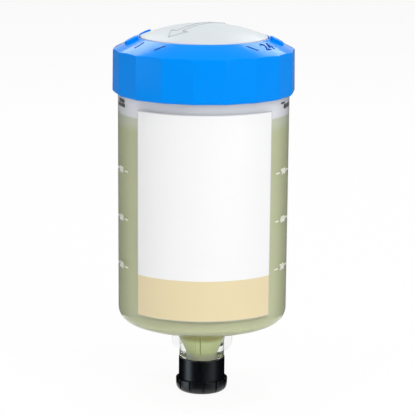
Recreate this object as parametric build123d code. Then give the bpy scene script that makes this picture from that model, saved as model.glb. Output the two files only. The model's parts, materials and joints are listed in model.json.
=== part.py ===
from build123d import *
import math
import os

# Gas-driven single-point lubricator: a clear oil reservoir with a closed outlet
# thread below, a piston that gas pushes down from above, and a faceted setting
# dial around a domed cover. Millimetres, +Z up, axis of turning on Z, Z = 0 on
# the underside of the closing cap. Azimuth is counted from -Y towards +X.

# ---- clearances -------------------------------------------------------------
RUN = 0.07              # running fit, radial
FREE = 0.25             # open gap between pieces that never touch
SEAT = 0.1              # axial play of a piece that turns
FILM = 0.02             # film of air, glue or oil between two faces that touch
BORE_PLAY = 0.15        # piston inside the reservoir, radial

# ---- closing cap and its liner ----------------------------------------------
CAP_HEIGHT = 11.0
CAP_WALL = 0.59         # over the thread
CAP_FLOOR = 1.6
CAP_CHAMFER = 0.3
CUP_STEP = 0.75         # grip cup around the foot of the cap, proud of its wall
CUP_FLARE = 0.15        # of the cup towards its rim
CUP_HEIGHT = 4.1
CUP_FILLET = 2.9
CUP_RIM_GAP = 0.3       # groove between the standing rim and the cap wall
CUP_RIM_DEPTH = 0.8
GRIP_COUNT = 12
GRIP_WIDTH = 0.7
GRIP_DEPTH = 0.35
GRIP_AZIMUTH = 4.0
LINER_HEIGHT = 1.0

# ---- outlet -----------------------------------------------------------------
THREAD_R = 6.578        # G 1/4 major radius
SHOULDER_STEP = 0.47    # neck over thread
SHOULDER_GAP = 0.15     # between cap and neck
SHOULDER_HEIGHT = 5.0
NECK_LENGTH = 11.75     # from the shoulder up to the floor
NECK_ROOT_STEP = 1.55   # neck at the floor over neck at the shoulder
PASSAGE_R = 3.2         # oil passage between funnel and valve
FUNNEL_R = 6.9          # mouth of the funnel in the floor
FUNNEL_DEPTH = 12.2
WEB_REACH = 2.55        # webs that brace the neck, outside its shoulder
WEB_THICKNESS = 1.4
WEB_LIFT = 1.75         # foot of the webs above the shoulder
WEB_CORNER_R = 3.2
WEB_COUNT = 4
WEB_AZIMUTH = -8.0

# ---- reservoir --------------------------------------------------------------
BODY_R = 26.5           # outside, under the dial
BODY_DRAFT = 0.18       # degrees
BODY_CORNER_R = 4.7
WALL = 1.9
FLOOR = 1.9
PISTON_STROKE = 60.0
OIL_LEFT = 0.6          # film of oil under the piston at the end of its stroke

# ---- label ------------------------------------------------------------------
LABEL_THICKNESS = 0.12
LABEL_LIFT = 0.9        # lower edge above the rounded corner
LABEL_DROP = 3.2        # upper edge below the dial
LABEL_LEFT = -48.4      # azimuth, degrees
LABEL_RIGHT = 50.8

# ---- oil valve --------------------------------------------------------------
VALVE_WALL = 2.3
VALVE_HEIGHT = 7.4
VALVE_RECESS = 0.2      # from the end of the thread up to the valve
SEAT_HEIGHT = 1.6
SEAT_HOLE_R = 1.25
BALL_R = 1.6
BALL_PLAY = 0.7         # ring gap round the ball, for the oil
RETAINER_HEIGHT = 0.8
RETAINER_HOLE_R = 0.9
SPRING_WIRE_R = 0.2
SPRING_R = 1.15
SPRING_COILS = 3.0

# ---- piston -----------------------------------------------------------------
PISTON_HEIGHT = 7.0
PISTON_FLOOR = 2.0
PISTON_WALL = 3.2
SEAL_GROOVE_DEPTH = 1.3
SEAL_HEIGHT = 1.6
SEAL_LEVELS = (1.2, 4.2)
PISTON_RIBS = 6
PISTON_RIB_THICKNESS = 1.2
PISTON_RIB_HEIGHT = 2.6
PISTON_BOSS_R = 5.0

# ---- gas head ---------------------------------------------------------------
HEAD_GAP = 0.7          # gas space above a piston that is fully up
HEAD_COVER = 8.3        # length of the reservoir inside the dial
HEAD_FLANGE = 1.6
HEAD_WALL = 2.65
HEAD_FLOOR = 1.5
BOSS_WALL = 3.3         # bearing of the dial
COVER_LEDGE = 0.9       # of the boss, under the skirt of the cover
POCKET_WALL = 2.0
POCKET_ROOF = 1.0
O_RING_R = 0.75
O_RING_LIFT = 3.6
MEMBRANE_R = 6.0
MEMBRANE_THICKNESS = 0.5
VENT_R = 0.8
NOTCH_R = 0.55
NOTCH_DEPTH = 0.4

# ---- gas cells and circuit --------------------------------------------------
CELL_R = 5.8
CELL_HEIGHT = 5.4
CELL_STEP = 1.1         # height and width of the step round a cell's lid
CELL_CHAMFER = 0.5
CELL_COUNT = 3
CELL_FIRST = 0.0        # azimuth, degrees
CELL_SPREAD = 3.2       # from the axis out to a cell
CUP_WALL = 0.8          # rings on the head floor that hold the cells
CUP_WALL_HEIGHT = 3.0
STRIP_THICKNESS = 0.3
STRIP_WIDTH = 3.0
STRIP_LENGTH = 8.0
STRIP_GAP = 1.1         # between a cell and the circuit board
BOARD_GAP = 2.0         # round the circuit board
BOARD_THICKNESS = 1.2
POST_R = 2.0
POST_INSET = 2.4        # from the edge of the board in to a post
CHIP_LENGTH = 3.2
CHIP_WIDTH = 1.6
CHIP_HEIGHT = 0.6
CHIP_COUNT = 5
CHIP_SPREAD = 2.9       # from the controller out to a resistor
CONTROLLER_SIDE = 4.6
CONTROLLER_HEIGHT = 1.0
SCREW_R = 1.0
SCREW_HEAD_R = 1.9
SCREW_HEAD_HEIGHT = 1.3
SCREW_LENGTH = 6.0
SCREW_SLOT = 0.5

# ---- dial -------------------------------------------------------------------
FACETS = 18
FACET_FIRST = -6.4      # azimuth of a corner, degrees
DIAL_RISE = 6.8         # foot of the dial above the oil
DIAL_WALL = 1.02        # at the middle of a facet
DIAL_WALL_HEIGHT = 13.4
DIAL_DRAFT = 0.6        # degrees
DIAL_FOOT_CHAMFER = 0.7
DIAL_HOLE_R = 20.0
CONE_RISE = 3.9
CONE_THICKNESS = 1.7
HUB_WALL = 2.4
LIP_REACH = 1.5         # from the hole of the cone in to the skirt of the cover
LIP_THICKNESS = 1.0
LIP_GAP = 0.5           # between the lip and the rim of the cover
LUG_AZIMUTHS = (-124.0, -80.0, 82.0)
LUG_INSET = 0.4         # from the hole out to a lug
LUG_LENGTH = 4.2
LUG_WIDTH = 2.8
LUG_HEIGHT = 1.0
TICKS = ((-35.2, -38.0), (39.2, 38.0))  # azimuth, and slant from the radius
TICK_INSET = 1.05
TICK_LENGTH = 3.9
TICK_WIDTH = 0.55
TICK_DEPTH = 0.35
CLICK_ANGLES = (0.0, 18.0, 60.0, 102.0, 144.0, 186.0, 228.0, 270.0)
MAGNET_R = 1.0
MAGNET_LENGTH = 2.2
MAGNET_AZIMUTH = 150.0
MAGNET_WALL = 0.7
MAGNET_LIFT = 0.8       # above the head flange
CLICK_AZIMUTH = -30.0
CLICK_LENGTH = 9.0
CLICK_THICKNESS = 0.25
CLICK_HEIGHT = 2.0
CLICK_BOW = 0.95
CLICK_NOSE = 1.6

# ---- cover ------------------------------------------------------------------
COVER_GAP = 0.34        # dark joint between cover and dial
COVER_RISE = 4.0
COVER_THICKNESS = 1.5
SKIRT_WALL = 1.3
CLIP_COUNT = 4
CLIP_WIDTH = 4.0
CLIP_THICKNESS = 1.1
CLIP_LENGTH = 2.8
CLIP_HOOK = 0.5
CLIP_HOOK_HEIGHT = 1.0
ARROW_AZIMUTH = -40.0
ARROW_INSET = 2.56      # from the rim in to the tip
ARROW_LENGTH = 26.1
ARROW_HEAD_LENGTH = 5.8
ARROW_HEAD_WIDTH = 7.8
ARROW_SHAFT_WIDTH = 2.6
ARROW_LINE = 0.5
ARROW_RAISE = 0.25

# ---- levels, from the cap upwards -------------------------------------------
OUTLET_Z = CAP_FLOOR + LINER_HEIGHT
SHOULDER_Z = CAP_HEIGHT + SHOULDER_GAP
VALVE_Z = OUTLET_Z + VALVE_RECESS
VALVE_TOP_Z = VALVE_Z + VALVE_HEIGHT
SEAT_Z = VALVE_TOP_Z - SEAT_HEIGHT
BALL_Z = SEAT_Z - math.sqrt(BALL_R**2 - SEAT_HOLE_R**2) - FILM
RETAINER_TOP_Z = VALVE_Z + RETAINER_HEIGHT
BODY_BOTTOM_Z = SHOULDER_Z + NECK_LENGTH
FLOOR_Z = BODY_BOTTOM_Z + FLOOR
HEEL_TOP_Z = BODY_BOTTOM_Z + BODY_CORNER_R + SEAT
OIL_TOP_Z = HEEL_TOP_Z + PISTON_STROKE + OIL_LEFT
DIAL_BOTTOM_Z = OIL_TOP_Z + DIAL_RISE
LABEL_BOTTOM_Z = HEEL_TOP_Z + LABEL_LIFT
LABEL_TOP_Z = DIAL_BOTTOM_Z - LABEL_DROP
HEAD_BOTTOM_Z = OIL_TOP_Z + PISTON_HEIGHT + HEAD_GAP
HEAD_FLOOR_Z = HEAD_BOTTOM_Z + HEAD_FLOOR
O_RING_Z = HEAD_BOTTOM_Z + O_RING_LIFT
BODY_TOP_Z = DIAL_BOTTOM_Z + HEAD_COVER
FLANGE_TOP_Z = BODY_TOP_Z + HEAD_FLANGE
CELL_Z = HEAD_FLOOR_Z + STRIP_THICKNESS
CELL_TOP_Z = CELL_Z + CELL_HEIGHT
BOARD_Z = CELL_TOP_Z + STRIP_GAP
BOARD_TOP_Z = BOARD_Z + BOARD_THICKNESS
DIAL_EDGE_Z = DIAL_BOTTOM_Z + DIAL_WALL_HEIGHT
DIAL_TOP_Z = DIAL_EDGE_Z + CONE_RISE
LIP_TOP_Z = DIAL_TOP_Z - COVER_THICKNESS - LIP_GAP
LIP_Z = LIP_TOP_Z - LIP_THICKNESS
BOSS_TOP_Z = LIP_Z - SEAT
HUB_BOTTOM_Z = FLANGE_TOP_Z + SEAT
MAGNET_Z = FLANGE_TOP_Z + MAGNET_LIFT
CLICK_Z = (HUB_BOTTOM_Z + LIP_Z - CLICK_HEIGHT) / 2

# ---- radii, from the axis outwards ------------------------------------------
CHAMBER_R = BALL_R + BALL_PLAY
VALVE_R = CHAMBER_R + VALVE_WALL
CAP_BORE_R = THREAD_R + RUN
CAP_R = CAP_BORE_R + CAP_WALL
CUP_R = CAP_R + CUP_STEP
SHOULDER_R = THREAD_R + SHOULDER_STEP
NECK_ROOT_R = SHOULDER_R + NECK_ROOT_STEP
WEB_R = SHOULDER_R + WEB_REACH
BORE_R = BODY_R - WALL
PISTON_R = BORE_R - BORE_PLAY
HEAD_R = BORE_R - FILM
COVER_R = DIAL_HOLE_R - COVER_GAP
SKIRT_R = DIAL_HOLE_R - LIP_REACH
CAVITY_R = SKIRT_R - COVER_LEDGE
BOSS_R = CAVITY_R + BOSS_WALL
HUB_IN_R = BOSS_R + RUN
HUB_OUT_R = HUB_IN_R + HUB_WALL
DIAL_IN_R = BODY_R + FREE
DIAL_CORNER_R = (DIAL_IN_R + DIAL_WALL) / math.cos(math.pi / FACETS)
DIAL_EDGE_R = DIAL_CORNER_R - DIAL_WALL_HEIGHT * math.tan(math.radians(DIAL_DRAFT))
CONE_FALL = CONE_RISE / (DIAL_EDGE_R - DIAL_HOLE_R)
MAGNET_PITCH_R = (HUB_OUT_R + DIAL_IN_R) / 2
CELL_PITCH_R = CELL_SPREAD + CELL_R
BOARD_R = CAVITY_R - BOARD_GAP
POST_PITCH_R = BOARD_R - POST_INSET
VENT_PITCH_R = MEMBRANE_R - 2 * VENT_R
CHIP_PITCH_R = CONTROLLER_SIDE / 2 + CHIP_SPREAD
ARROW_TIP_R = COVER_R - ARROW_INSET
CELL_AZIMUTHS = [CELL_FIRST + 360 / CELL_COUNT * k for k in range(CELL_COUNT)]
POST_AZIMUTHS = [azimuth + 180 / CELL_COUNT for azimuth in CELL_AZIMUTHS]


# ---- helpers ----------------------------------------------------------------
def around(azimuth, r=0.0, z=0.0):
    """Place a shape at an azimuth, its local +X pointing outwards."""
    return Rot(0, 0, azimuth - 90) * Pos(r, 0, z)


def section(points):
    """Flat face from (radius, height) points in the XZ plane."""
    return make_face(Polyline([(r, 0, z) for r, z in points], close=True))


def rounded(face, r, z, radius):
    """Round the corner of a section that lies nearest to (r, z)."""
    corner = face.vertices().sort_by_distance((r, 0, z))[0]
    return fillet(corner, radius)


def turned(points):
    """Solid of revolution about Z from (radius, height) points."""
    return revolve(section(points), Axis.Z)


def tube(r_out, r_in, z, height):
    return turned([(r_in, z), (r_out, z), (r_out, z + height), (r_in, z + height)])


def rod(r, z, height):
    return Pos(0, 0, z) * Cylinder(r, height, align=(Align.CENTER, Align.CENTER, Align.MIN))


def block(length, width, z, height):
    return Pos(0, 0, z) * Box(length, width, height, align=(Align.CENTER, Align.CENTER, Align.MIN))


def body_r(z):
    """Outside radius of the reservoir at a height."""
    return BODY_R - (DIAL_BOTTOM_Z - z) * math.tan(math.radians(BODY_DRAFT))


# ---- reservoir and what is on it --------------------------------------------
def web():
    """Flat web with a rounded foot, standing out along +X."""
    foot = SHOULDER_Z + WEB_LIFT
    face = section([
        (0, foot),
        (WEB_R, foot),
        (WEB_R, FLOOR_Z),
        (0, FLOOR_Z),
    ])
    face = rounded(face, WEB_R, foot, WEB_CORNER_R)
    return extrude(face, WEB_THICKNESS / 2, dir=(0, 1, 0), both=True)


def reservoir_hollow(gap):
    """Room inside the reservoir, drawn in by a gap on every wall."""
    valve_top = VALVE_TOP_Z + FILM
    face = section([
        (0, valve_top + gap),
        (PASSAGE_R - gap, valve_top + gap),
        (PASSAGE_R - gap, FLOOR_Z - FUNNEL_DEPTH),
        (FUNNEL_R - gap, FLOOR_Z + gap),
        (BORE_R - gap, FLOOR_Z + gap),
        (BORE_R - gap, BODY_TOP_Z + 1),
        (0, BODY_TOP_Z + 1),
    ])
    face = rounded(face, BORE_R - gap, FLOOR_Z + gap, BODY_CORNER_R - WALL)
    return revolve(face, Axis.Z)


def reservoir():
    wall = section([
        (0, BODY_BOTTOM_Z),
        (body_r(BODY_BOTTOM_Z), BODY_BOTTOM_Z),
        (BODY_R, DIAL_BOTTOM_Z),
        (BODY_R, BODY_TOP_Z),
        (0, BODY_TOP_Z),
    ])
    wall = rounded(wall, body_r(BODY_BOTTOM_Z), BODY_BOTTOM_Z, BODY_CORNER_R)
    shape = revolve(wall, Axis.Z)
    shape += turned([
        (0, OUTLET_Z),
        (THREAD_R, OUTLET_Z),
        (THREAD_R, SHOULDER_Z),
        (SHOULDER_R, SHOULDER_Z),
        (SHOULDER_R, SHOULDER_Z + SHOULDER_HEIGHT),
        (NECK_ROOT_R, BODY_BOTTOM_Z),
        (NECK_ROOT_R, FLOOR_Z),
        (0, FLOOR_Z),
    ])
    for k in range(WEB_COUNT):
        shape += around(WEB_AZIMUTH + 360 / WEB_COUNT * k) * web()
    shape -= reservoir_hollow(0)
    shape -= rod(VALVE_R + FILM, OUTLET_Z - 1, VALVE_TOP_Z + FILM - OUTLET_Z + 1)
    return shape


def label():
    inner_low = body_r(LABEL_BOTTOM_Z) + FILM
    inner_high = body_r(LABEL_TOP_Z) + FILM
    face = section([
        (inner_low, LABEL_BOTTOM_Z),
        (inner_low + LABEL_THICKNESS, LABEL_BOTTOM_Z),
        (inner_high + LABEL_THICKNESS, LABEL_TOP_Z),
        (inner_high, LABEL_TOP_Z),
    ])
    sheet = revolve(face, Axis.Z, LABEL_RIGHT - LABEL_LEFT)
    return Rot(0, 0, LABEL_LEFT - 90) * sheet


def oil_heel():
    """Oil in the corner, funnel and passage, which the piston leaves behind."""
    return reservoir_hollow(FILM) & rod(BODY_R, 0, HEEL_TOP_Z)


def oil_fill():
    """Oil that the piston pushes out."""
    return rod(BORE_R - FILM, HEEL_TOP_Z, OIL_TOP_Z - HEEL_TOP_Z)


# ---- closing cap ------------------------------------------------------------
def closing_cap():
    face = section([
        (0, 0),
        (CUP_R, 0),
        (CUP_R + CUP_FLARE, CUP_HEIGHT),
        (CAP_R + CUP_RIM_GAP, CUP_HEIGHT),
        (CAP_R + CUP_RIM_GAP, CUP_HEIGHT - CUP_RIM_DEPTH),
        (CAP_R, CUP_HEIGHT - CUP_RIM_DEPTH),
        (CAP_R, CAP_HEIGHT - CAP_CHAMFER),
        (CAP_R - CAP_CHAMFER, CAP_HEIGHT),
        (CAP_BORE_R, CAP_HEIGHT),
        (CAP_BORE_R, CAP_FLOOR),
        (0, CAP_FLOOR),
    ])
    shape = revolve(rounded(face, CUP_R, 0, CUP_FILLET), Axis.Z)
    groove = block(2 * GRIP_DEPTH, GRIP_WIDTH, -1, CUP_HEIGHT + 2)
    for k in range(GRIP_COUNT):
        shape -= around(GRIP_AZIMUTH + 360 / GRIP_COUNT * k, CUP_R) * groove
    return shape


def cap_liner():
    return rod(THREAD_R - FILM, CAP_FLOOR, LINER_HEIGHT)


# ---- oil valve --------------------------------------------------------------
def valve_body():
    return turned([
        (CHAMBER_R, VALVE_Z),
        (VALVE_R, VALVE_Z),
        (VALVE_R, VALVE_TOP_Z),
        (SEAT_HOLE_R, VALVE_TOP_Z),
        (SEAT_HOLE_R, SEAT_Z),
        (CHAMBER_R, SEAT_Z),
    ])


def valve_ball():
    return Pos(0, 0, BALL_Z) * Sphere(BALL_R)


def valve_retainer():
    return tube(CHAMBER_R - FILM, RETAINER_HOLE_R, VALVE_Z, RETAINER_HEIGHT)


def valve_spring():
    reach = math.sqrt((BALL_R + SPRING_WIRE_R) ** 2 - SPRING_R**2)
    top = BALL_Z - reach - FILM
    foot = RETAINER_TOP_Z + SPRING_WIRE_R + FILM
    coil = Helix((top - foot) / SPRING_COILS, top - foot, SPRING_R, center=(0, 0, foot))
    wire = Plane(coil @ 0, z_dir=coil % 0) * RegularPolygon(SPRING_WIRE_R, 6)
    return sweep(wire, path=coil, is_frenet=True)


# ---- piston -----------------------------------------------------------------
def piston():
    r = PISTON_R
    top = OIL_TOP_Z + PISTON_HEIGHT
    shape = turned([
        (0, OIL_TOP_Z),
        (r, OIL_TOP_Z),
        (r, top),
        (r - PISTON_WALL, top),
        (r - PISTON_WALL, OIL_TOP_Z + PISTON_FLOOR),
        (0, OIL_TOP_Z + PISTON_FLOOR),
    ])
    rib_length = r - PISTON_WALL
    rib = Pos(rib_length / 2, 0, OIL_TOP_Z + PISTON_FLOOR) * Box(
        rib_length + 0.4,
        PISTON_RIB_THICKNESS,
        PISTON_RIB_HEIGHT,
        align=(Align.CENTER, Align.CENTER, Align.MIN),
    )
    for k in range(PISTON_RIBS):
        shape += around(360 / PISTON_RIBS * k) * rib
    shape += rod(PISTON_BOSS_R, OIL_TOP_Z, PISTON_FLOOR + PISTON_RIB_HEIGHT)
    for level in SEAL_LEVELS:
        z = OIL_TOP_Z + level
        shape -= tube(r + 1, r - SEAL_GROOVE_DEPTH, z, SEAL_HEIGHT + 2 * FILM)
    return shape


def piston_seal(level):
    """Ring with two lips that bear on the bore."""
    inner = PISTON_R - SEAL_GROOVE_DEPTH + FILM
    outer = BORE_R - FILM
    z = OIL_TOP_Z + level + FILM
    middle = (inner + outer) / 2
    return turned([
        (inner, z),
        (outer, z),
        (outer, z + SEAL_HEIGHT / 4),
        (middle, z + SEAL_HEIGHT / 2),
        (outer, z + SEAL_HEIGHT * 3 / 4),
        (outer, z + SEAL_HEIGHT),
        (inner, z + SEAL_HEIGHT),
    ])


# ---- gas head ---------------------------------------------------------------
def gas_head():
    floor = HEAD_FLOOR_Z
    shape = turned([
        (0, HEAD_BOTTOM_Z),
        (HEAD_R, HEAD_BOTTOM_Z),
        (HEAD_R, BODY_TOP_Z),
        (BODY_R, BODY_TOP_Z),
        (BODY_R, FLANGE_TOP_Z),
        (BOSS_R, FLANGE_TOP_Z),
        (BOSS_R, BOSS_TOP_Z),
        (CAVITY_R, BOSS_TOP_Z),
        (CAVITY_R, floor),
        (0, floor),
    ])
    pocket_height = BODY_TOP_Z - HEAD_BOTTOM_Z - POCKET_ROOF
    shape -= tube(HEAD_R - HEAD_WALL, CAVITY_R + POCKET_WALL, HEAD_BOTTOM_Z, pocket_height)
    groove_r = BORE_R - 2 * O_RING_R - 2 * FILM
    shape -= tube(BODY_R, groove_r, O_RING_Z - O_RING_R - FILM, 2 * (O_RING_R + FILM))
    shape -= rod(MEMBRANE_R + FILM, HEAD_BOTTOM_Z, MEMBRANE_THICKNESS + FILM)
    for azimuth in CELL_AZIMUTHS:
        ring = tube(CELL_R + RUN + CUP_WALL, CELL_R + RUN, floor, CUP_WALL_HEIGHT)
        ring -= Pos(-CELL_R, 0, 0) * block(2 * CELL_R, STRIP_WIDTH + 1, floor, CUP_WALL_HEIGHT)
        shape += around(azimuth, CELL_PITCH_R) * ring
    for azimuth in POST_AZIMUTHS:
        place = around(azimuth, POST_PITCH_R)
        shape += place * rod(POST_R, floor, BOARD_Z - floor)
        shape -= place * rod(SCREW_R + FILM, BOARD_TOP_Z - SCREW_LENGTH - FILM, SCREW_LENGTH)
        shape -= around(azimuth, VENT_PITCH_R) * rod(VENT_R, HEAD_BOTTOM_Z, 2 * HEAD_FLOOR)
    notch = rod(NOTCH_R, FLANGE_TOP_Z, BOSS_TOP_Z - FLANGE_TOP_Z)
    for angle in CLICK_ANGLES:
        reach = BOSS_R + NOTCH_R - NOTCH_DEPTH
        shape -= around(CLICK_AZIMUTH + angle, reach) * notch
    hook_z = BOSS_TOP_Z - CLIP_LENGTH - SEAT
    hook_room = CLIP_HOOK_HEIGHT + 2 * SEAT
    window = block(2 * (CLIP_HOOK + FREE), CLIP_WIDTH + 2 * FREE, hook_z, hook_room)
    for k in range(CLIP_COUNT):
        shape -= around(360 / CLIP_COUNT * (k + 0.5), CAVITY_R) * window
    return shape


def head_o_ring():
    return Pos(0, 0, O_RING_Z) * Torus(BORE_R - O_RING_R - FILM, O_RING_R)


def gas_membrane():
    return rod(MEMBRANE_R, HEAD_BOTTOM_Z, MEMBRANE_THICKNESS)


def gas_cell(azimuth):
    lid_z = CELL_TOP_Z - CELL_STEP
    can = turned([
        (0, CELL_Z),
        (CELL_R, CELL_Z),
        (CELL_R, lid_z - CELL_CHAMFER),
        (CELL_R - CELL_CHAMFER, lid_z),
        (CELL_R - CELL_STEP, lid_z),
        (CELL_R - CELL_STEP, CELL_TOP_Z),
        (0, CELL_TOP_Z),
    ])
    return around(azimuth, CELL_PITCH_R) * can


def ground_plate():
    """Flat star that joins the undersides of the cells."""
    z = CELL_Z - STRIP_THICKNESS
    shape = rod(STRIP_WIDTH / 2, z, STRIP_THICKNESS)
    arm = Pos(CELL_PITCH_R / 2, 0, 0) * block(CELL_PITCH_R, STRIP_WIDTH, z, STRIP_THICKNESS)
    for azimuth in CELL_AZIMUTHS:
        shape += around(azimuth) * arm
        shape += around(azimuth, CELL_PITCH_R) * rod(STRIP_WIDTH, z, STRIP_THICKNESS)
    return shape


def contact_spring(azimuth):
    """Bowed strip between a cell and the circuit board."""
    half = STRIP_LENGTH / 2
    drop = STRIP_GAP - STRIP_THICKNESS - 2 * FILM
    top = BOARD_Z - FILM
    side = [(half, 0), (half * 0.6, 0), (half * 0.25, drop)]
    bow = side + [(-x, fall) for x, fall in reversed(side)]
    upper = [(x, top - fall) for x, fall in bow]
    lower = [(x, z - STRIP_THICKNESS) for x, z in reversed(upper)]
    strip = extrude(section(upper + lower), STRIP_WIDTH / 2, dir=(0, 1, 0), both=True)
    return around(azimuth, CELL_PITCH_R) * strip


def circuit_board():
    shape = rod(BOARD_R, BOARD_Z, BOARD_THICKNESS)
    for azimuth in POST_AZIMUTHS:
        shape -= around(azimuth, POST_PITCH_R) * rod(SCREW_R + FREE, BOARD_Z - 1, BOARD_THICKNESS + 2)
    return shape


def board_screws():
    """One pan-head screw for each post."""
    screws = []
    for azimuth in POST_AZIMUTHS:
        screw = rod(SCREW_R, BOARD_TOP_Z - SCREW_LENGTH + FILM, SCREW_LENGTH)
        screw += rod(SCREW_HEAD_R, BOARD_TOP_Z + FILM, SCREW_HEAD_HEIGHT)
        head_top = BOARD_TOP_Z + FILM + SCREW_HEAD_HEIGHT
        screw -= block(2 * SCREW_HEAD_R, SCREW_SLOT, head_top - SCREW_SLOT, SCREW_SLOT)
        screws.append(around(azimuth, POST_PITCH_R) * screw)
    return Compound(children=screws)


def dose_resistors():
    """Row of chip resistors around the controller."""
    chip = block(CHIP_WIDTH, CHIP_LENGTH, BOARD_TOP_Z, CHIP_HEIGHT)
    chips = [around(360 / CHIP_COUNT * k, CHIP_PITCH_R) * chip for k in range(CHIP_COUNT)]
    return Compound(children=chips)


def controller():
    return block(CONTROLLER_SIDE, CONTROLLER_SIDE, BOARD_TOP_Z, CONTROLLER_HEIGHT)


# ---- dial -------------------------------------------------------------------
def cone_z(r):
    """Height of the cone's face at a radius."""
    return DIAL_TOP_Z - (r - DIAL_HOLE_R) * CONE_FALL


def cone_band(low, high, r_in, r_out):
    """Layer over the cone of the dial, between two heights above its face."""
    z_in = cone_z(r_in)
    z_out = cone_z(r_out)
    return turned([(r_in, z_in + low), (r_out, z_out + low), (r_out, z_out + high), (r_in, z_in + high)])


def cone_mark(azimuth, slant, inset, length, width):
    """Upright bar with round ends, slanted from the radius, as a tool over the cone."""
    bar = extrude(SlotOverall(length, width), DIAL_TOP_Z + LUG_HEIGHT)
    return around(azimuth, DIAL_HOLE_R + inset + length / 2) * Rot(0, 0, slant) * bar


def setting_dial():
    over_r = DIAL_CORNER_R + DIAL_FOOT_CHAMFER
    shape = turned([
        (DIAL_IN_R, DIAL_BOTTOM_Z),
        (DIAL_CORNER_R - DIAL_FOOT_CHAMFER, DIAL_BOTTOM_Z),
        (over_r, DIAL_BOTTOM_Z + 2 * DIAL_FOOT_CHAMFER),
        (over_r, cone_z(over_r)),
        (DIAL_HOLE_R, DIAL_TOP_Z),
        (DIAL_HOLE_R, LIP_TOP_Z),
        (SKIRT_R + SEAT, LIP_TOP_Z),
        (SKIRT_R + SEAT, LIP_Z),
        (HUB_IN_R, LIP_Z),
        (HUB_IN_R, HUB_BOTTOM_Z),
        (HUB_OUT_R, HUB_BOTTOM_Z),
        (HUB_OUT_R, cone_z(HUB_OUT_R) - CONE_THICKNESS),
        (DIAL_IN_R, cone_z(DIAL_IN_R) - CONE_THICKNESS),
    ])
    foot = RegularPolygon(DIAL_CORNER_R, FACETS, major_radius=True)
    sides = extrude(foot, DIAL_TOP_Z - DIAL_BOTTOM_Z, taper=DIAL_DRAFT)
    shape &= Pos(0, 0, DIAL_BOTTOM_Z) * Rot(0, 0, FACET_FIRST - 90) * sides
    lugs = cone_band(-CONE_THICKNESS / 2, LUG_HEIGHT, DIAL_HOLE_R, DIAL_EDGE_R)
    for azimuth in LUG_AZIMUTHS:
        shape += lugs & cone_mark(azimuth, 0, LUG_INSET, LUG_LENGTH, LUG_WIDTH)
    ticks = cone_band(-TICK_DEPTH, LUG_HEIGHT, DIAL_HOLE_R, DIAL_EDGE_R)
    for azimuth, slant in TICKS:
        shape -= ticks & cone_mark(azimuth, slant, TICK_INSET, TICK_LENGTH, TICK_WIDTH)
    place = around(MAGNET_AZIMUTH, MAGNET_PITCH_R)
    holder_height = cone_z(MAGNET_PITCH_R) - CONE_THICKNESS / 2 - MAGNET_Z
    shape += place * rod(MAGNET_R + MAGNET_WALL, MAGNET_Z, holder_height)
    shape -= place * rod(MAGNET_R + FILM, MAGNET_Z, MAGNET_LENGTH + FILM)
    depth = CLICK_BOW + CLICK_THICKNESS + 2 * FILM
    height = CLICK_HEIGHT + 2 * FREE
    room = block(2 * depth, CLICK_LENGTH + 2 * FREE, CLICK_Z - FREE, height)
    shape -= around(CLICK_AZIMUTH, HUB_IN_R) * room
    return shape


def dial_magnet():
    return around(MAGNET_AZIMUTH, MAGNET_PITCH_R) * rod(MAGNET_R, MAGNET_Z, MAGNET_LENGTH)


def click_spring():
    """Bowed leaf whose nose rides on the bearing of the gas head."""
    nose = HUB_IN_R + FILM
    back = nose + CLICK_BOW
    inner = [
        (back, -CLICK_LENGTH / 2),
        (nose, -CLICK_NOSE / 2),
        (nose, CLICK_NOSE / 2),
        (back, CLICK_LENGTH / 2),
    ]
    outer = [(r + CLICK_THICKNESS, side) for r, side in reversed(inner)]
    leaf = make_face(Polyline(inner + outer, close=True))
    return around(CLICK_AZIMUTH, 0, CLICK_Z) * extrude(leaf, CLICK_HEIGHT)


# ---- cover ------------------------------------------------------------------
def dome_section(rise, drop):
    """Half section under an arc through the rim, raised and lowered."""
    radius = (COVER_R**2 + COVER_RISE**2) / (2 * COVER_RISE)
    centre = DIAL_TOP_Z + COVER_RISE - radius
    middle = math.asin(COVER_R / radius) / 2
    top = DIAL_TOP_Z + COVER_RISE + rise
    arc = ThreePointArc(
        (0, 0, top),
        (radius * math.sin(middle), 0, centre + rise + radius * math.cos(middle)),
        (COVER_R, 0, DIAL_TOP_Z + rise),
    )
    sides = Polyline((COVER_R, 0, DIAL_TOP_Z + rise), (COVER_R, 0, drop), (0, 0, drop), (0, 0, top))
    return make_face(arc + sides)


def dome(rise, drop):
    return revolve(dome_section(rise, drop), Axis.Z)


def arrow_outline():
    """Closed outline of a block arrow that points along +X."""
    neck = ARROW_TIP_R - ARROW_HEAD_LENGTH
    side = [
        (ARROW_TIP_R, 0),
        (neck, ARROW_HEAD_WIDTH / 2),
        (neck, ARROW_SHAFT_WIDTH / 2),
        (ARROW_TIP_R - ARROW_LENGTH, ARROW_SHAFT_WIDTH / 2),
    ]
    mirrored = [(x, -y) for x, y in reversed(side[1:])]
    arrow = make_face(Polyline(side + mirrored, close=True))
    return arrow - offset(arrow, -ARROW_LINE, kind=Kind.INTERSECTION)


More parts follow.
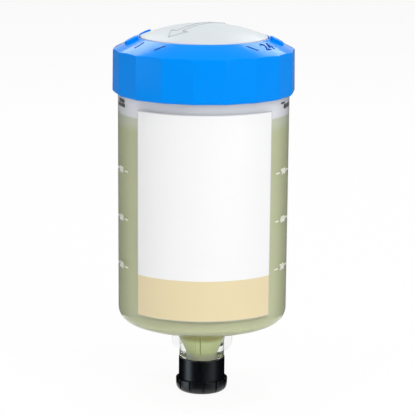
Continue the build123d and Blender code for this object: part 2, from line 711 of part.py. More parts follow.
def dome_cover():
    shape = dome(0, BOSS_TOP_Z) - dome(-COVER_THICKNESS, 0)
    skirt = tube(SKIRT_R, SKIRT_R - SKIRT_WALL, BOSS_TOP_Z + FILM, DIAL_TOP_Z - BOSS_TOP_Z)
    shape += skirt
    clip_r = CAVITY_R - SEAT
    clip_z = BOSS_TOP_Z - CLIP_LENGTH
    arm = tube(clip_r, clip_r - CLIP_THICKNESS, clip_z, DIAL_TOP_Z - clip_z)
    arm += tube(clip_r + CLIP_HOOK, clip_r - CLIP_THICKNESS / 2, clip_z, CLIP_HOOK_HEIGHT)
    slab = Pos(clip_r, 0, 0) * block(2 * CLIP_THICKNESS + 2, CLIP_WIDTH, 0, DIAL_TOP_Z + COVER_RISE)
    for k in range(CLIP_COUNT):
        shape += arm & around(360 / CLIP_COUNT * (k + 0.5)) * slab
    arrow = extrude(arrow_outline(), DIAL_TOP_Z + 2 * COVER_RISE)
    layer = dome(ARROW_RAISE, 0) - dome(-COVER_THICKNESS / 2, -1)
    shape += layer & around(ARROW_AZIMUTH) * arrow
    return shape


# ---- every node -------------------------------------------------------------
NODES = {
    "reservoir": reservoir(),
    "label": label(),
    "oil_fill": oil_fill(),
    "oil_heel": oil_heel(),
    "closing_cap": closing_cap(),
    "cap_liner": cap_liner(),
    "valve_body": valve_body(),
    "valve_ball": valve_ball(),
    "valve_spring": valve_spring(),
    "valve_retainer": valve_retainer(),
    "piston": piston(),
    "piston_seal_lower": piston_seal(SEAL_LEVELS[0]),
    "piston_seal_upper": piston_seal(SEAL_LEVELS[1]),
    "gas_head": gas_head(),
    "head_o_ring": head_o_ring(),
    "gas_membrane": gas_membrane(),
    "ground_plate": ground_plate(),
    "circuit_board": circuit_board(),
    "board_screws": board_screws(),
    "dose_resistors": dose_resistors(),
    "controller": controller(),
    "setting_dial": setting_dial(),
    "dial_magnet": dial_magnet(),
    "click_spring": click_spring(),
    "dome_cover": dome_cover(),
}
for number, azimuth in enumerate(CELL_AZIMUTHS, 1):
    NODES[f"gas_cell_{number}"] = gas_cell(azimuth)
    NODES[f"contact_spring_{number}"] = contact_spring(azimuth)

os.makedirs("parts", exist_ok=True)
for name, shape in NODES.items():
    export_step(shape, f"parts/{name}.step")
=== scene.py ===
"""Looks of a gas-driven automatic lubricator: a clear oil reservoir with a label, a faceted setting dial
around a domed cover, and a screwed closing cap under the outlet.

Metres, +Z up, turning axis on Z. Azimuth is counted from -Y towards +X.
"""

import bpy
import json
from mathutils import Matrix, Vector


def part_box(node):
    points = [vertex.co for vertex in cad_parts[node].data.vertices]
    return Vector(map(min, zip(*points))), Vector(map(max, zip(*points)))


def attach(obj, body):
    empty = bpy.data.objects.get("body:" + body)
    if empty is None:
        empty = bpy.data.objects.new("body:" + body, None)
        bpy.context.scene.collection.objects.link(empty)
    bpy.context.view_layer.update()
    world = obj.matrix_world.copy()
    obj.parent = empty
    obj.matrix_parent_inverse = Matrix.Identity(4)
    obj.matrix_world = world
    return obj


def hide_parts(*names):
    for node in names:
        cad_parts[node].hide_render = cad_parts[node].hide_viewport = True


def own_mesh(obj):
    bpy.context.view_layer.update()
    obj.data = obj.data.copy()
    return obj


bl_info = {
    "name": "Automatic lubricator",
    "version": (1, 0, 0),
    "blender": (4, 5, 0),
    "location": "3D View > Sidebar > Lubricator",
    "description": "Visible pieces, finishes and studio of an automatic lubricator, round its packed frame",
    "category": "Object",
}

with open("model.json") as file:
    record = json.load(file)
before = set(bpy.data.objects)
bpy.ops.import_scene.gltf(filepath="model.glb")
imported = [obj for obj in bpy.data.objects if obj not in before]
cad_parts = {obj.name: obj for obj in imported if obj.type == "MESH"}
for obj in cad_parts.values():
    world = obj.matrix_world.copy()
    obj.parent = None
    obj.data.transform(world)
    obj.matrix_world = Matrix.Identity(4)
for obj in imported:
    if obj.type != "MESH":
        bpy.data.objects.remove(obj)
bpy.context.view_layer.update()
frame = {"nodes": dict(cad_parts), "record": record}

import json
import math
from functools import partial

import bmesh
import bpy
import numpy as np
from bpy.props import FloatProperty, FloatVectorProperty, IntProperty, PointerProperty, StringProperty
from mathutils import Matrix

TAU = 2 * math.pi
HAIR = 0.00001  # a distance too small to show
EMBED = 0.00003  # a liquid face stands this far inside the wall that it wets
VALVE_GAP = 0.00002  # the foot of the oil stands this far over the valve's socket
LETTER_SCALE = 1.38  # size of the built-in font over the height of its figures
LETTER_WEIGHT = 0.025  # how far the strokes are widened, as a share of that height
PAD_COLUMNS = 40  # points round the outline of a pad
PAD_ROOT = -0.0001  # the foot of a pad lies this far inside the face that it stands on
WEB_LEAST = 0.005  # least radius at which the angle of a web's side is worked out
DIAL_GRIPS = (-124.0, -80.0, 82.0)  # azimuths in degrees
# the second step darkens the oil in the funnel: the oil's deeper colour with painted shade under the
# reservoir's underside
OIL_STEPS = ((0.0110, 0.0130), (0.0160, 0.0180), (0.0222, 0.0245))  # where the oil's colour changes
# dark grey patches on the inside of the wall at both edges under the dial, each a low pad
DARK_PATCHES = (  # azimuth and half angle in degrees, height and half height
    (-74.5, 6.0, 0.0934, 0.0006),
    (-76.0, 8.5, 0.0921, 0.0006),
    (78.5, 8.5, 0.0921, 0.0007),
    (69.0, 3.5, 0.0933, 0.0003),
)
PATCH_DEPTH = (0.00006, 0.0002)  # of both faces of a catch, from the wall's inside outwards
CAP_LIGHTS = ((2.2, -52, 12), (0.6, 43, 14))  # level, azimuth and width in degrees


# ---- sizes and colours that a user would change -----------------------------
def kind_of(maker, **fixed):
    """A short way to write one kind of property: name, description and default, and what the kind fixes."""

    def make(name, description, default, **more):
        return maker(name=name, description=description, default=default, **{**fixed, **more})

    return make


length = kind_of(FloatProperty, precision=5, unit="LENGTH")
power = kind_of(FloatProperty, min=0, unit="POWER")
number = kind_of(FloatProperty, min=0)
count = kind_of(IntProperty, min=1)
words = kind_of(StringProperty)
colour = kind_of(FloatVectorProperty, min=0, max=1, subtype="COLOR")


def angle(name, description, degrees):
    return kind_of(FloatProperty, subtype="ANGLE")(name, description, math.radians(degrees))


class ReservoirSizes(bpy.types.PropertyGroup):
    radius: length("Radius", "Outside radius under the dial", 0.0265)
    draft: angle("Draft", "Slope of the outside wall", 0.18)
    wall: length("Wall", "Thickness of the wall", 0.0019)
    corner: length("Corner", "Radius of the outside lower corner", 0.0047)
    bottom: length("Bottom", "Height of the underside", 0.0229)
    floor: length("Floor", "Height of the floor inside", 0.0248)
    top: length("Top", "Height of the upper rim", 0.1034)
    thread_radius: length("Thread radius", "Crest radius of the outlet thread", 0.006578)
    thread_depth: length("Thread depth", "From crest to root", 0.00072)
    thread_pitch: length("Thread pitch", "Rise of the thread in one turn", 0.001337)
    outlet: length("Outlet", "Height of the outlet's end face", 0.0026)
    shoulder: length("Shoulder", "Height of the shoulder above the thread", 0.01115)
    neck_radius: length("Neck radius", "Radius of the neck over the shoulder", 0.007048)
    neck_height: length("Neck height", "Height of the straight part of the neck", 0.005)
    neck_root: length("Neck root", "Radius of the neck where it meets the underside", 0.008598)
    passage: length("Passage", "Radius of the oil passage in the neck", 0.0032)
    funnel: length("Funnel", "Radius of the funnel's mouth in the floor", 0.0069)
    funnel_depth: length("Funnel depth", "From the floor down to the passage", 0.0122)
    socket: length("Valve socket", "Radius of the socket for the oil valve", 0.00462)
    socket_top: length("Socket top", "Height of the socket's end", 0.01022)
    web_reach: length("Web reach", "Radius of the outer edge of the webs", 0.009598)
    web_thickness: length("Web thickness", "Thickness of the webs that brace the neck", 0.0014)
    web_corner: length("Web corner", "Radius of the foot of the webs", 0.0032)
    web_foot: length("Web foot", "Height of the foot of the webs", 0.0129)
    web_azimuth: angle("Web azimuth", "Azimuth of the first web", -8.0)
    web_count: count("Webs", "Number of webs round the neck", 4)


class OilSizes(bpy.types.PropertyGroup):
    split: length("Split", "Height where the column over the heel begins", 0.0277)
    top: length("Top", "Height of the oil in a full reservoir", 0.0883)
    left: number("Left", "Share of the column that stays under a piston fully down", 0.0099, min=0.001)


class SpringSizes(bpy.types.PropertyGroup):
    wire: length("Wire", "Radius of the wire of the valve spring", 0.0002)
    turns: count("Turns", "Turns of the wire", 3)
    stroke: length("Stroke", "How far the opening ball presses the spring", 0.0008)


class LabelSizes(bpy.types.PropertyGroup):
    low: length("Lower edge", "Height of the lower edge", 0.0286)
    high: length("Upper edge", "Height of the upper edge", 0.0919)
    band: length("Band", "Height of the coloured band's upper edge", 0.0412)
    left: angle("Left edge", "Azimuth of the left edge", -48.4)
    right: angle("Right edge", "Azimuth of the right edge", 50.8)
    lift: length("Glue", "Film of glue under the label", 0.00002)
    thickness: length("Thickness", "Thickness of the label film", 0.00012)


class ScaleSizes(bpy.types.PropertyGroup):
    figures: words("Figures", "Figures of the level scale from the top down", "90 60 30")
    top: length("Top figure", "Height of the top figure", 0.0722)
    spacing: length("Spacing", "From one figure down to the next", 0.015)
    size: length("Size", "Height of the figures", 0.0019)
    depth: length("Depth", "From the back of the figures to their face", 0.00026)
    width: number("Width", "Share that widens the figures", 1.45, min=0.1)
    left: angle("Left scale", "Azimuth of the left scale", -71.6)
    right: angle("Right scale", "Azimuth of the right scale", 68.5)
    dash: length("Dash", "Length of a level dash", 0.0022)
    dash_away: length("Dash distance", "From the middle of the figures to the middle of a dash", 0.0042)
    dash_thickness: length("Dash thickness", "Thickness of a level dash", 0.00045)
    dash_raise: length("Dash height", "How far a dash stands out of the wall", 0.00013)


class CapSizes(bpy.types.PropertyGroup):
    radius: length("Radius", "Radius of the cap's wall", 0.007238)
    bore: length("Bore", "Radius of the bore over the thread", 0.006648)
    height: length("Height", "Height of the cap", 0.011)
    floor: length("Floor", "Thickness of the cap's floor", 0.0016)
    cup_radius: length("Cup radius", "Radius of the grip cup at the foot", 0.007988)
    cup_flare: length("Cup flare", "Growth of that radius up to the rim", 0.00015)
    cup_height: length("Cup height", "Height of the grip cup", 0.0041)
    cup_corner: length("Cup corner", "Radius of the grip cup's lower corner", 0.0029)
    rim_gap: length("Rim gap", "Groove between the standing rim and the wall", 0.0003)
    rim_depth: length("Rim depth", "Depth of that groove", 0.0008)
    grip_depth: length("Grip depth", "Depth of the grip grooves", 0.00035)
    grip_width: length("Grip width", "Width of the grip grooves", 0.0007)
    grip_azimuth: angle("Grip azimuth", "Azimuth of the first grip groove", 4.0)
    grip_count: count("Grips", "Number of grip grooves", 12, min=3)


class DialSizes(bpy.types.PropertyGroup):
    facets: count("Facets", "Number of flats round the dial", 18, min=6)
    first: angle("First corner", "Azimuth of a corner between two flats", -6.4)
    flat_radius: length("Flat radius", "From the axis to the middle of a flat at the foot", 0.02777)
    draft: angle("Draft", "Slope of the flats", 0.6)
    foot: length("Foot", "Height of the lower edge", 0.0951)
    chamfer: length("Chamfer", "Chamfer round the foot", 0.0007)
    inner: length("Inner radius", "Inside radius of the foot", 0.02675)
    hole: length("Hole", "Radius of the hole for the cover", 0.02)
    hole_top: length("Hole edge", "Height of the hole's edge", 0.1124)
    cone_rise: length("Cone rise", "Rise of the cone from its corners to the hole", 0.0039)
    cone_thickness: length("Cone thickness", "Wall of the cone", 0.0017)
    lip_radius: length("Lip radius", "Inner radius of the lip under the cover", 0.0186)
    lip_top: length("Lip top", "Height of the lip's upper face", 0.1104)
    lip_height: length("Lip", "Thickness of the lip", 0.001)
    hub_inner: length("Hub bore", "Inner radius of the hub", 0.02097)
    hub_outer: length("Hub radius", "Outer radius of the hub", 0.02337)
    hub_foot: length("Hub foot", "Height of the hub's lower face", 0.1051)
    edge_round: length("Edge round", "Rounding of the upper edge", 0.00035)
    corner_round: length("Corner round", "Rounding of the upright edges between two flats", 0.00077)
    grip_width: length("Grip width", "Width of the grips that stand on the cone", 0.0028)
    grip_length: length("Grip length", "Length of the grips, away from the hole", 0.0042)
    grip_height: length("Grip height", "Height of the grips over the cone", 0.001)
    grip_inset: length("Grip inset", "From the hole's edge to the grips", 0.0004)
    figures: words("Figures", "Setting scale, counter-clockwise from the left", "1 3 6 9 12 18 24")
    figure_size: length("Figure size", "Height of the figures", 0.0036)
    figure_depth: length("Figure depth", "From the back of the figures to their face", 0.00016)
    figure_radius: length("Figure radius", "From the axis to the middle of the figures", 0.0232)
    figure_first: angle("First figure", "Azimuth of the first figure", -58.0)
    figure_step: angle("Figure step", "Turn from one figure to the next", -41.0)
    tick_left: angle("Left tick", "Azimuth of the left index tick", -35.2)
    tick_right: angle("Right tick", "Azimuth of the right index tick", 39.2)
    tick_slant: angle("Tick slant", "Slant of the index ticks from the radius", 38.0)
    tick_length: length("Tick length", "Length of the index ticks", 0.0039)
    tick_width: length("Tick width", "Width of the index ticks", 0.0007)
    tick_radius: length("Tick radius", "From the axis to the middle of the index ticks", 0.023)
    tick_raise: length("Tick height", "How far the index ticks stand out of the cone", 0.00006)


class DomeSizes(bpy.types.PropertyGroup):
    radius: length("Radius", "Radius of the rim", 0.01966)
    rim: length("Rim", "Height of the rim's edge", 0.1124)
    rise: length("Rise", "Rise of the crown over the rim", 0.004)
    thickness: length("Thickness", "Wall of the dome", 0.0015)
    skirt: length("Skirt", "Outer radius of the skirt", 0.0185)
    skirt_wall: length("Skirt wall", "Wall of the skirt", 0.0013)
    skirt_foot: length("Skirt foot", "Height of the skirt's lower edge", 0.10932)
    arrow_azimuth: angle("Arrow", "Azimuth that the arrow points to", -40.0)
    arrow_tip: length("Arrow tip", "From the axis to the arrow's tip", 0.0171)
    arrow_length: length("Arrow length", "Length of the arrow", 0.0261)
    arrow_head: length("Arrow head", "Length of the arrow's head", 0.0058)
    arrow_width: length("Head width", "Width of the arrow's head", 0.0078)
    arrow_shaft: length("Shaft width", "Width of the arrow's shaft", 0.0026)
    arrow_line: length("Line", "Width of the raised line", 0.0005)
    arrow_raise: length("Raise", "Height of the raised line", 0.00025)


class FinishColours(bpy.types.PropertyGroup):
    dial_blue: colour("Dial blue", "Moulded colour of the dial", (0.0, 0.27, 0.93))
    oil_pale: colour("Oil", "Colour of the oil", (0.565, 0.59, 0.36))
    oil_light: colour("Oil at the top", "Colour of the oil near the piston", (0.63, 0.655, 0.51))
    # painted shade: darkened for the shadow under the reservoir's underside, on the oil's deeper colour
    oil_funnel_shaded: colour("Oil in the funnel", "Colour of the oil in the funnel", (0.33, 0.325, 0.085))
    oil_neck: colour("Oil in the neck", "Colour of the oil in the passage", (0.64, 0.72, 0.37))
    oil_foot: colour("Oil over the valve", "Colour of the oil at the foot of the passage", (0.62, 0.63, 0.50))
    # painted light: lighter than the piston behind it, to offset the shade under the dial's overhang
    film_painted_light: colour("Wiped film", "Colour of the film between the piston and the wall", (0.88, 0.88, 0.93))
    label_white: colour("Label", "White of the label", (0.90, 0.90, 0.905))
    label_band: colour("Label band", "Coloured band of the label", (0.80, 0.68, 0.41))
    label_line: colour("Label line", "Line along the label's edge", (0.42, 0.42, 0.44))
    cap_black: colour("Cap black", "Moulded colour of the closing cap", (0.0025, 0.003, 0.005))
    dome_white: colour("Dome", "Colour of the domed cover", (0.63, 0.675, 0.705))
    inner_white: colour("Inner white", "Colour of the piston and the gas head", (0.70, 0.70, 0.72))
    scale_cream: colour("Scale", "Colour of the level scale", (0.86, 0.87, 0.80))
    # painted shade: navy stands in for the shade inside the engraved figures and ticks
    engraving_shade_navy: colour("Dial figures", "Colour in the sunk figures", (0.0, 0.065, 0.32))
    mark_grey: colour("Dark patches", "Colour of the dark catches behind the wall", (0.05, 0.048, 0.05))


class StudioSizes(bpy.types.PropertyGroup):
    distance: length("Distance", "From the axis to the camera, along the floor", 0.65)
    height: length("Height", "Height of the camera", 0.1898)
    pitch: angle("Pitch", "Camera's look down", 11.4)
    yaw: angle("Yaw", "Camera's turn to the right", 0.128)
    roll: angle("Roll", "Camera's roll", 0.463)
    lens: number("Lens", "Focal length in millimetres on a 36 mm sensor", 184.25, min=1)
    key_power: power("Key", "Power of the right-hand softbox", 7.6)
    fill_power: power("Fill", "Power of the left-hand softbox", 2.4)
    strip_power: power("Strip", "Power of the narrow lamp at the left", 0.11)
    rear_power: power("Rear", "Power of each of the two rear lamps", 0.9)
    top_power: power("Top", "Power of the overhead softbox", 10.0)
    ambient: number("Ambient", "Level of the light from all round", 0.05)


GROUPS = {
    "lub_reservoir": ReservoirSizes,
    "lub_oil": OilSizes,
    "lub_spring": SpringSizes,
    "lub_label": LabelSizes,
    "lub_scale": ScaleSizes,
    "lub_cap": CapSizes,
    "lub_dial": DialSizes,
    "lub_dome": DomeSizes,
    "lub_colours": FinishColours,
    "lub_studio": StudioSizes,
}


# ---- surfaces ---------------------------------------------------------------
def on_axis(radius, azimuth, height):
    """Points at a radius and azimuth: x is the radius times the sine of the azimuth, y is minus the
    radius times its cosine."""
    radius, azimuth, height = np.broadcast_arrays(radius, azimuth, height)
    return np.stack([radius * np.sin(azimuth), -radius * np.cos(azimuth), height], axis=-1)


def wall_radius(scene, height):
    """Outside radius of the reservoir: from the dial down it falls in proportion to the depth, by the
    draft."""
    wall = scene.lub_reservoir
    return wall.radius - (scene.lub_dial.foot - height) * math.tan(wall.draft)


def cone_fall(dial):
    """Slope of the dial's cone: its rise over the way from the corners of the flats to the hole."""
    upright = dial.hole_top - dial.cone_rise - dial.foot
    corner = dial.flat_radius / math.cos(math.pi / dial.facets) - upright * math.tan(dial.draft)
    return dial.cone_rise / (corner - dial.hole)


def soft_corners(corners, steps=6):
    """Rounds the corners of a closed profile, each given as (x, y, radius). An arc is a rational
    quadratic curve from one tangent point to the other, with the corner as its middle point and the sine
    of half the corner's angle as its weight. The tangent points lie the radius over the tangent of that
    half angle away from the corner, and at most near the middle of a side."""
    corners = np.asarray(corners, float)
    points, radii = corners[..., :2], corners[..., 2:]
    back, ahead = np.roll(points, 1, axis=-2) - points, np.roll(points, -1, axis=-2) - points
    back_length = np.linalg.norm(back, axis=-1, keepdims=True)
    ahead_length = np.linalg.norm(ahead, axis=-1, keepdims=True)
    back, ahead = back / back_length, ahead / ahead_length
    half = np.arccos(np.clip((back * ahead).sum(-1, keepdims=True), -1, 1)) / 2
    reach = np.minimum(radii / np.tan(half), 0.49 * np.minimum(back_length, ahead_length))
    start, end = (points + back * reach)[..., None, :], (points + ahead * reach)[..., None, :]
    t = np.linspace(0, 1, steps)[:, None]
    pull = 2 * t * (1 - t) * np.sin(half)[..., None, :]
    top = (1 - t) ** 2 * start + pull * points[..., None, :] + t**2 * end
    bottom = (1 - t) ** 2 + pull + t**2
    return (top / bottom).reshape(*points.shape[:-2], -1, 2)


def shown(name, data):
    """A new object in the scene."""
    made = bpy.data.objects.new(name, data)
    bpy.context.scene.collection.objects.link(made)
    return made


def piece_of(mesh, shape, crease=None):
    """Shows an edited shape as that mesh, smooth up to the crease angle where one is given."""
    shape.to_mesh(mesh)
    shape.free()
    if crease is not None:
        mesh.shade_smooth()
        mesh.set_sharp_from_angle(angle=math.radians(crease))
    return shown(mesh.name, mesh)


def skin(name, grid, open_columns=False, merge=True, crease=32):
    """Closed surface through a grid of points. Rows run round a closed profile. Columns run round the
    axis, or are open and closed by a face at each end. Points that coincide, as on the axis, are merged,
    and the faces are turned outwards."""
    here = np.arange(grid[..., 0].size).reshape(grid.shape[:2])
    up = np.roll(here, -1, axis=0)
    faces = np.stack([here, np.roll(here, -1, axis=1), np.roll(up, -1, axis=1), up], axis=-1)
    ends = []
    if open_columns:
        faces = faces[:, :-1]
        ends = [here[:, 0].tolist(), here[::-1, -1].tolist()]
    mesh = bpy.data.meshes.new(name)
    mesh.from_pydata(grid.reshape(-1, 3), [], faces.reshape(-1, 4).tolist() + ends)
    shape = bmesh.new()
    shape.from_mesh(mesh)
    if merge:
        bmesh.ops.remove_doubles(shape, verts=shape.verts, dist=2e-7)
        bmesh.ops.dissolve_degenerate(shape, edges=shape.edges, dist=1e-8)
    if shape.calc_volume(signed=True) < 0:
        bmesh.ops.reverse_faces(shape, faces=shape.faces)
    return piece_of(mesh, shape, crease)


def turned(name, profile, columns=160):
    """Closed profile of (radius, height) points carried round the axis."""
    azimuth = np.linspace(0, TAU, columns, endpoint=False)
    return skin(name, on_axis(profile[:, None, 0], azimuth[None, :], profile[:, None, 1]))


def joined(name, grids):
    """One object from several closed grids."""
    shape = bmesh.new()
    for k, grid in enumerate(grids):
        mesh = skin(f"{name}_{k}", grid).data
        shape.from_mesh(mesh)
        bpy.data.meshes.remove(mesh)
    return piece_of(bpy.data.meshes.new(name), shape, 32)


def lettering(name, texts, size, depth, place):
    """Raised characters. Each text is made a solid mesh about its own middle, and place(points, k) then
    carries the points of text k to the surface: x runs along the line, y up the characters and z out of
    the face."""
    shape = bmesh.new()
    for k, text in enumerate(texts):
        curve = bpy.data.curves.new(name, "FONT")
        curve.body = text
        curve.size = size * LETTER_SCALE
        curve.align_x = curve.align_y = "CENTER"
        curve.extrude = depth / 2
        curve.offset = size * LETTER_WEIGHT
        draft = shown(name, curve)
        bpy.context.view_layer.update()
        solid = bpy.data.meshes.new_from_object(draft.evaluated_get(bpy.context.evaluated_depsgraph_get()))
        points = np.empty(len(solid.vertices) * 3)
        solid.vertices.foreach_get("co", points)
        solid.vertices.foreach_set("co", place(points.reshape(-1, 3), k).ravel())
        shape.from_mesh(solid)
        bpy.data.objects.remove(draft)
        bpy.data.curves.remove(curve)
        bpy.data.meshes.remove(solid)
    bmesh.ops.remove_doubles(shape, verts=shape.verts, dist=1e-7)
    bmesh.ops.recalc_face_normals(shape, faces=shape.faces)
    return piece_of(bpy.data.meshes.new(name), shape)


def pads(count, half_x, half_y, low, high, place, soft=0.3):
    """Low bars with round ends. Rows go up a profile whose top edge is rounded by a share of its height.
    Columns go round the outline: a circle of the smaller half width whose halves are moved apart by the
    rest of the larger one. place(points, k) carries bar k to the surface."""
    turn = TAU * (np.arange(PAD_COLUMNS) + 0.5) / PAD_COLUMNS
    c, s = np.cos(turn), np.sin(turn)
    end = min(half_x, half_y)
    across = end * c + (half_x - end) * np.sign(c)
    along = end * s + (half_y - end) * np.sign(s)
    rise = (high - low) / end
    profile = soft_corners([(0, 0, 0), (1, 0, 0), (1, rise, soft * rise), (0, rise, 0)])
    share = profile[:, 0, None]
    height = np.broadcast_to(low + profile[:, 1, None] * end, (len(profile), len(turn)))
    points = np.stack([share * across, share * along, height], axis=-1)
    return [place(points.reshape(-1, 3), k).reshape(points.shape) for k in range(count)]


def fit_out(piece, body, finish, slot, *nodes):
    """Gives a piece its finish, lets it ride on its body and stand for its CAD nodes."""
    piece.data.materials.clear()
    piece.data.materials.append(finish)
    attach(piece, body)
    if nodes:
        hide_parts(*nodes)


# ---- finishes ---------------------------------------------------------------
def opaque(value):
    return (*value, 1.0)


def shade(value, share):
    """A colour times a share."""
    return tuple(part * share for part in value)


class Nodes:
    """The shader nodes of one tree."""

    def __init__(self, tree):
        self.tree = tree

    def feed(self, socket, value):
        """Wires another node's output to a socket, or sets its value."""
        if isinstance(value, bpy.types.NodeSocket):
            self.tree.links.new(value, socket)
        else:
            socket.default_value = value

    def add(self, kind, values=None, **properties):
        """A node with these properties, and with its inputs fed by name or number."""
        node = self.tree.nodes.new(kind)
        for name, value in properties.items():
            setattr(node, name, value)
        for name, value in (values or {}).items():
            self.feed(node.inputs[name], value)
        return node

    def calculate(self, operation, first, second):
        return self.add("ShaderNodeMath", {0: first, 1: second}, operation=operation).outputs[0]

    def mix(self, share, first, second):
        """Colour between two colours."""
        return self.add("ShaderNodeMix", {0: share, 6: first, 7: second}, data_type="RGBA").outputs[2]

    def band(self, value, low, high, out_low=0.0, out_high=1.0):
        """Share between two values, smooth at both ends."""
        limits = {"Value": value, "From Min": low, "From Max": high, "To Min": out_low, "To Max": out_high}
        return self.add("ShaderNodeMapRange", limits, interpolation_type="SMOOTHSTEP").outputs["Result"]

    def noise(self, place, scale, detail):
        values = {"Vector": place, "Scale": scale, "Detail": detail}
        return self.add("ShaderNodeTexNoise", values).outputs["Fac"]

    def own_place(self):
        return self.add("ShaderNodeTexCoord").outputs["Object"]

    def split(self, place):
        return self.add("ShaderNodeSeparateXYZ", {0: place}).outputs

    def choose(self, share, first, second, output):
        """Shows a shader, and a second one for a share."""
        mixed = self.add("ShaderNodeMixShader", {0: share, 1: first, 2: second}).outputs[0]
        self.feed(self.tree.nodes[output].inputs["Surface"], mixed)

    def white_to_view(self, share):
        """1 for rays of the camera, of mirrors and through glass, times a share."""
        path = self.add("ShaderNodeLightPath").outputs
        reflected = self.calculate("MAXIMUM", path["Is Glossy Ray"], path["Is Transmission Ray"])
        return self.calculate("MULTIPLY", self.calculate("MAXIMUM", path["Is Camera Ray"], reflected), share)


class Effect(Nodes):
    """Shared shader effect: a node group whose inputs have default values and whose outputs have kinds."""

    def __init__(self, name, inputs, outputs):
        super().__init__(bpy.data.node_groups.new(name, "ShaderNodeTree"))
        sockets = self.tree.interface
        for label, default in inputs.items():
            kind = "NodeSocketFloat" if isinstance(default, float) else "NodeSocketColor"
            sockets.new_socket(label, in_out="INPUT", socket_type=kind).default_value = default
        for label, kind in outputs.items():
            sockets.new_socket(label, in_out="OUTPUT", socket_type=kind)
        self.given = self.add("NodeGroupInput").outputs
        self.result = self.add("NodeGroupOutput").inputs


def moulded_grain():
    """Fine grain and slow waves of moulded plastic: a height, and a roughness that varies between two
    values."""
    name = "Moulded grain"
    if name in bpy.data.node_groups:
        return bpy.data.node_groups[name]
    scales = {"Grain Scale": 2600.0, "Wave Scale": 70.0, "Wave Share": 0.5}
    gloss = {"Roughness Low": 0.15, "Roughness High": 0.22}
    effect = Effect(name, {**scales, **gloss}, {"Height": "NodeSocketFloat", "Roughness": "NodeSocketFloat"})
    given, place = effect.given, effect.own_place()
    grain = effect.noise(place, given["Grain Scale"], 3)
    wave = effect.noise(place, given["Wave Scale"], 2)
    height = effect.add("ShaderNodeMix", {0: given["Wave Share"], 2: grain, 3: wave})
    effect.feed(effect.result["Height"], height.outputs[0])
    limits = {"From Min": 0.35, "From Max": 0.65, "To Min": given["Roughness Low"]}
    limits["To Max"] = given["Roughness High"]
    rough = effect.add("ShaderNodeMapRange", {"Value": wave, **limits})
    effect.feed(effect.result["Roughness"], rough.outputs[0])
    return effect.tree


def uneven_tone():
    """Slow unevenness of a moulded or printed colour, between a colour and a second tone of it."""
    name = "Uneven tone"
    if name in bpy.data.node_groups:
        return bpy.data.node_groups[name]
    tones = {"Colour": (0.5, 0.5, 0.5, 1), "Second Tone": (0.4, 0.4, 0.4, 1)}
    outputs = {"Colour": "NodeSocketColor", "Mask": "NodeSocketFloat"}
    effect = Effect(name, {**tones, "Scale": 60.0, "Amount": 0.3}, outputs)
    given = effect.given
    share = effect.calculate("MULTIPLY", effect.noise(effect.own_place(), given["Scale"], 4), given["Amount"])
    effect.feed(effect.result["Colour"], effect.mix(share, given["Colour"], given["Second Tone"]))
    effect.feed(effect.result["Mask"], share)
    return effect.tree


class Finish(Nodes):
    """One material. Its shader's sockets are given as words."""

    def __init__(self, name, **sockets):
        self.material = bpy.data.materials.new(name)
        self.material.use_nodes = True
        super().__init__(self.material.node_tree)
        self.shader = self.tree.nodes["Principled BSDF"]
        self.give(self.shader, sockets)

    def give(self, node, values):
        for name, value in values.items():
            self.feed(node.inputs[name.replace("_", " ")], value)
        return node

    def place(self, value, socket):
        self.feed(self.shader.inputs[socket], value)

    def tint(self, value, second, amount, scale=60.0):
        """A colour that wanders towards a share of itself."""
        node = self.add("ShaderNodeGroup", node_tree=uneven_tone())
        tones = {"Colour": opaque(value), "Second Tone": opaque(shade(value, second))}
        return self.give(node, {**tones, "Amount": amount, "Scale": scale}).outputs["Colour"]

    def grain(self, rough, relief=0.0, depth=0.0001, **scales):
        """Roughness that varies between two values and, where a relief is given, grain in the height."""
        node = self.add("ShaderNodeGroup", node_tree=moulded_grain())
        self.give(node, {"Roughness Low": rough[0], "Roughness High": rough[1], **scales})
        self.place(node.outputs["Roughness"], "Roughness")
        if relief:
            self.bump(node.outputs["Height"], relief, depth)

    def bump(self, height, strength, distance):
        node = self.add("ShaderNodeBump", {"Height": height, "Strength": strength, "Distance": distance})
        self.place(node.outputs["Normal"], "Normal")


def plain_plastic(name, value, rough, relief=0.12, coat=0.0, tone=0.3, second=0.86, **sockets):
    """Moulded plastic: uneven colour, grain in the height and a roughness that varies."""
    finish = Finish(name, Coat_Weight=coat, Coat_Roughness=0.06, **sockets)
    finish.place(finish.tint(value, second, tone), "Base Color")
    finish.grain(rough, relief)
    return finish.material


def metal(name, value, rough):
    """Metal with fine drawn lines, close together along the axis."""
    finish = Finish(name, Metallic=1.0)
    stretch = finish.add("ShaderNodeMapping", {"Vector": finish.own_place(), "Scale": (400, 400, 4000)})
    lines = finish.noise(stretch.outputs["Vector"], 1.0, 3.0)
    finish.place(finish.tint(value, 0.8, 0.5), "Base Color")
    finish.place(finish.band(lines, 0.3, 0.7, *rough), "Roughness")
    finish.bump(lines, 0.15, 0.00005)
    return finish.material


def clear_plastic():
    """Clear moulded plastic, slightly wavy, with painted shade: its colour greys where it is seen along its
    face, standing in for dark surroundings seen in its edges. Light from the lamps passes it straight, so
    that what stands inside is lit."""
    finish = Finish("Clear plastic", Transmission_Weight=1.0, IOR=1.5, Metallic=0.0)
    # painted shade: the base colour greys from 0.9 to 0.5 towards a grazing view of the face
    facing = finish.add("ShaderNodeLayerWeight", {"Blend": 0.5}).outputs["Facing"]
    edge = finish.band(facing, 0.4, 0.97)
    finish.place(finish.mix(edge, (0.90, 0.91, 0.90, 1), (0.5, 0.52, 0.5, 1)), "Base Color")
    finish.grain((0.015, 0.05), 0.06, 0.0004, Grain_Scale=900.0, Wave_Scale=55.0, Wave_Share=0.85)
    path = finish.add("ShaderNodeLightPath").outputs
    clear = finish.add("ShaderNodeBsdfTransparent", {"Color": (0.97, 0.975, 0.97, 1)})
    passing = finish.calculate("MAXIMUM", path["Is Shadow Ray"], path["Is Diffuse Ray"])
    finish.choose(passing, finish.shader.outputs[0], clear.outputs[0], "Material Output")
    return finish.material


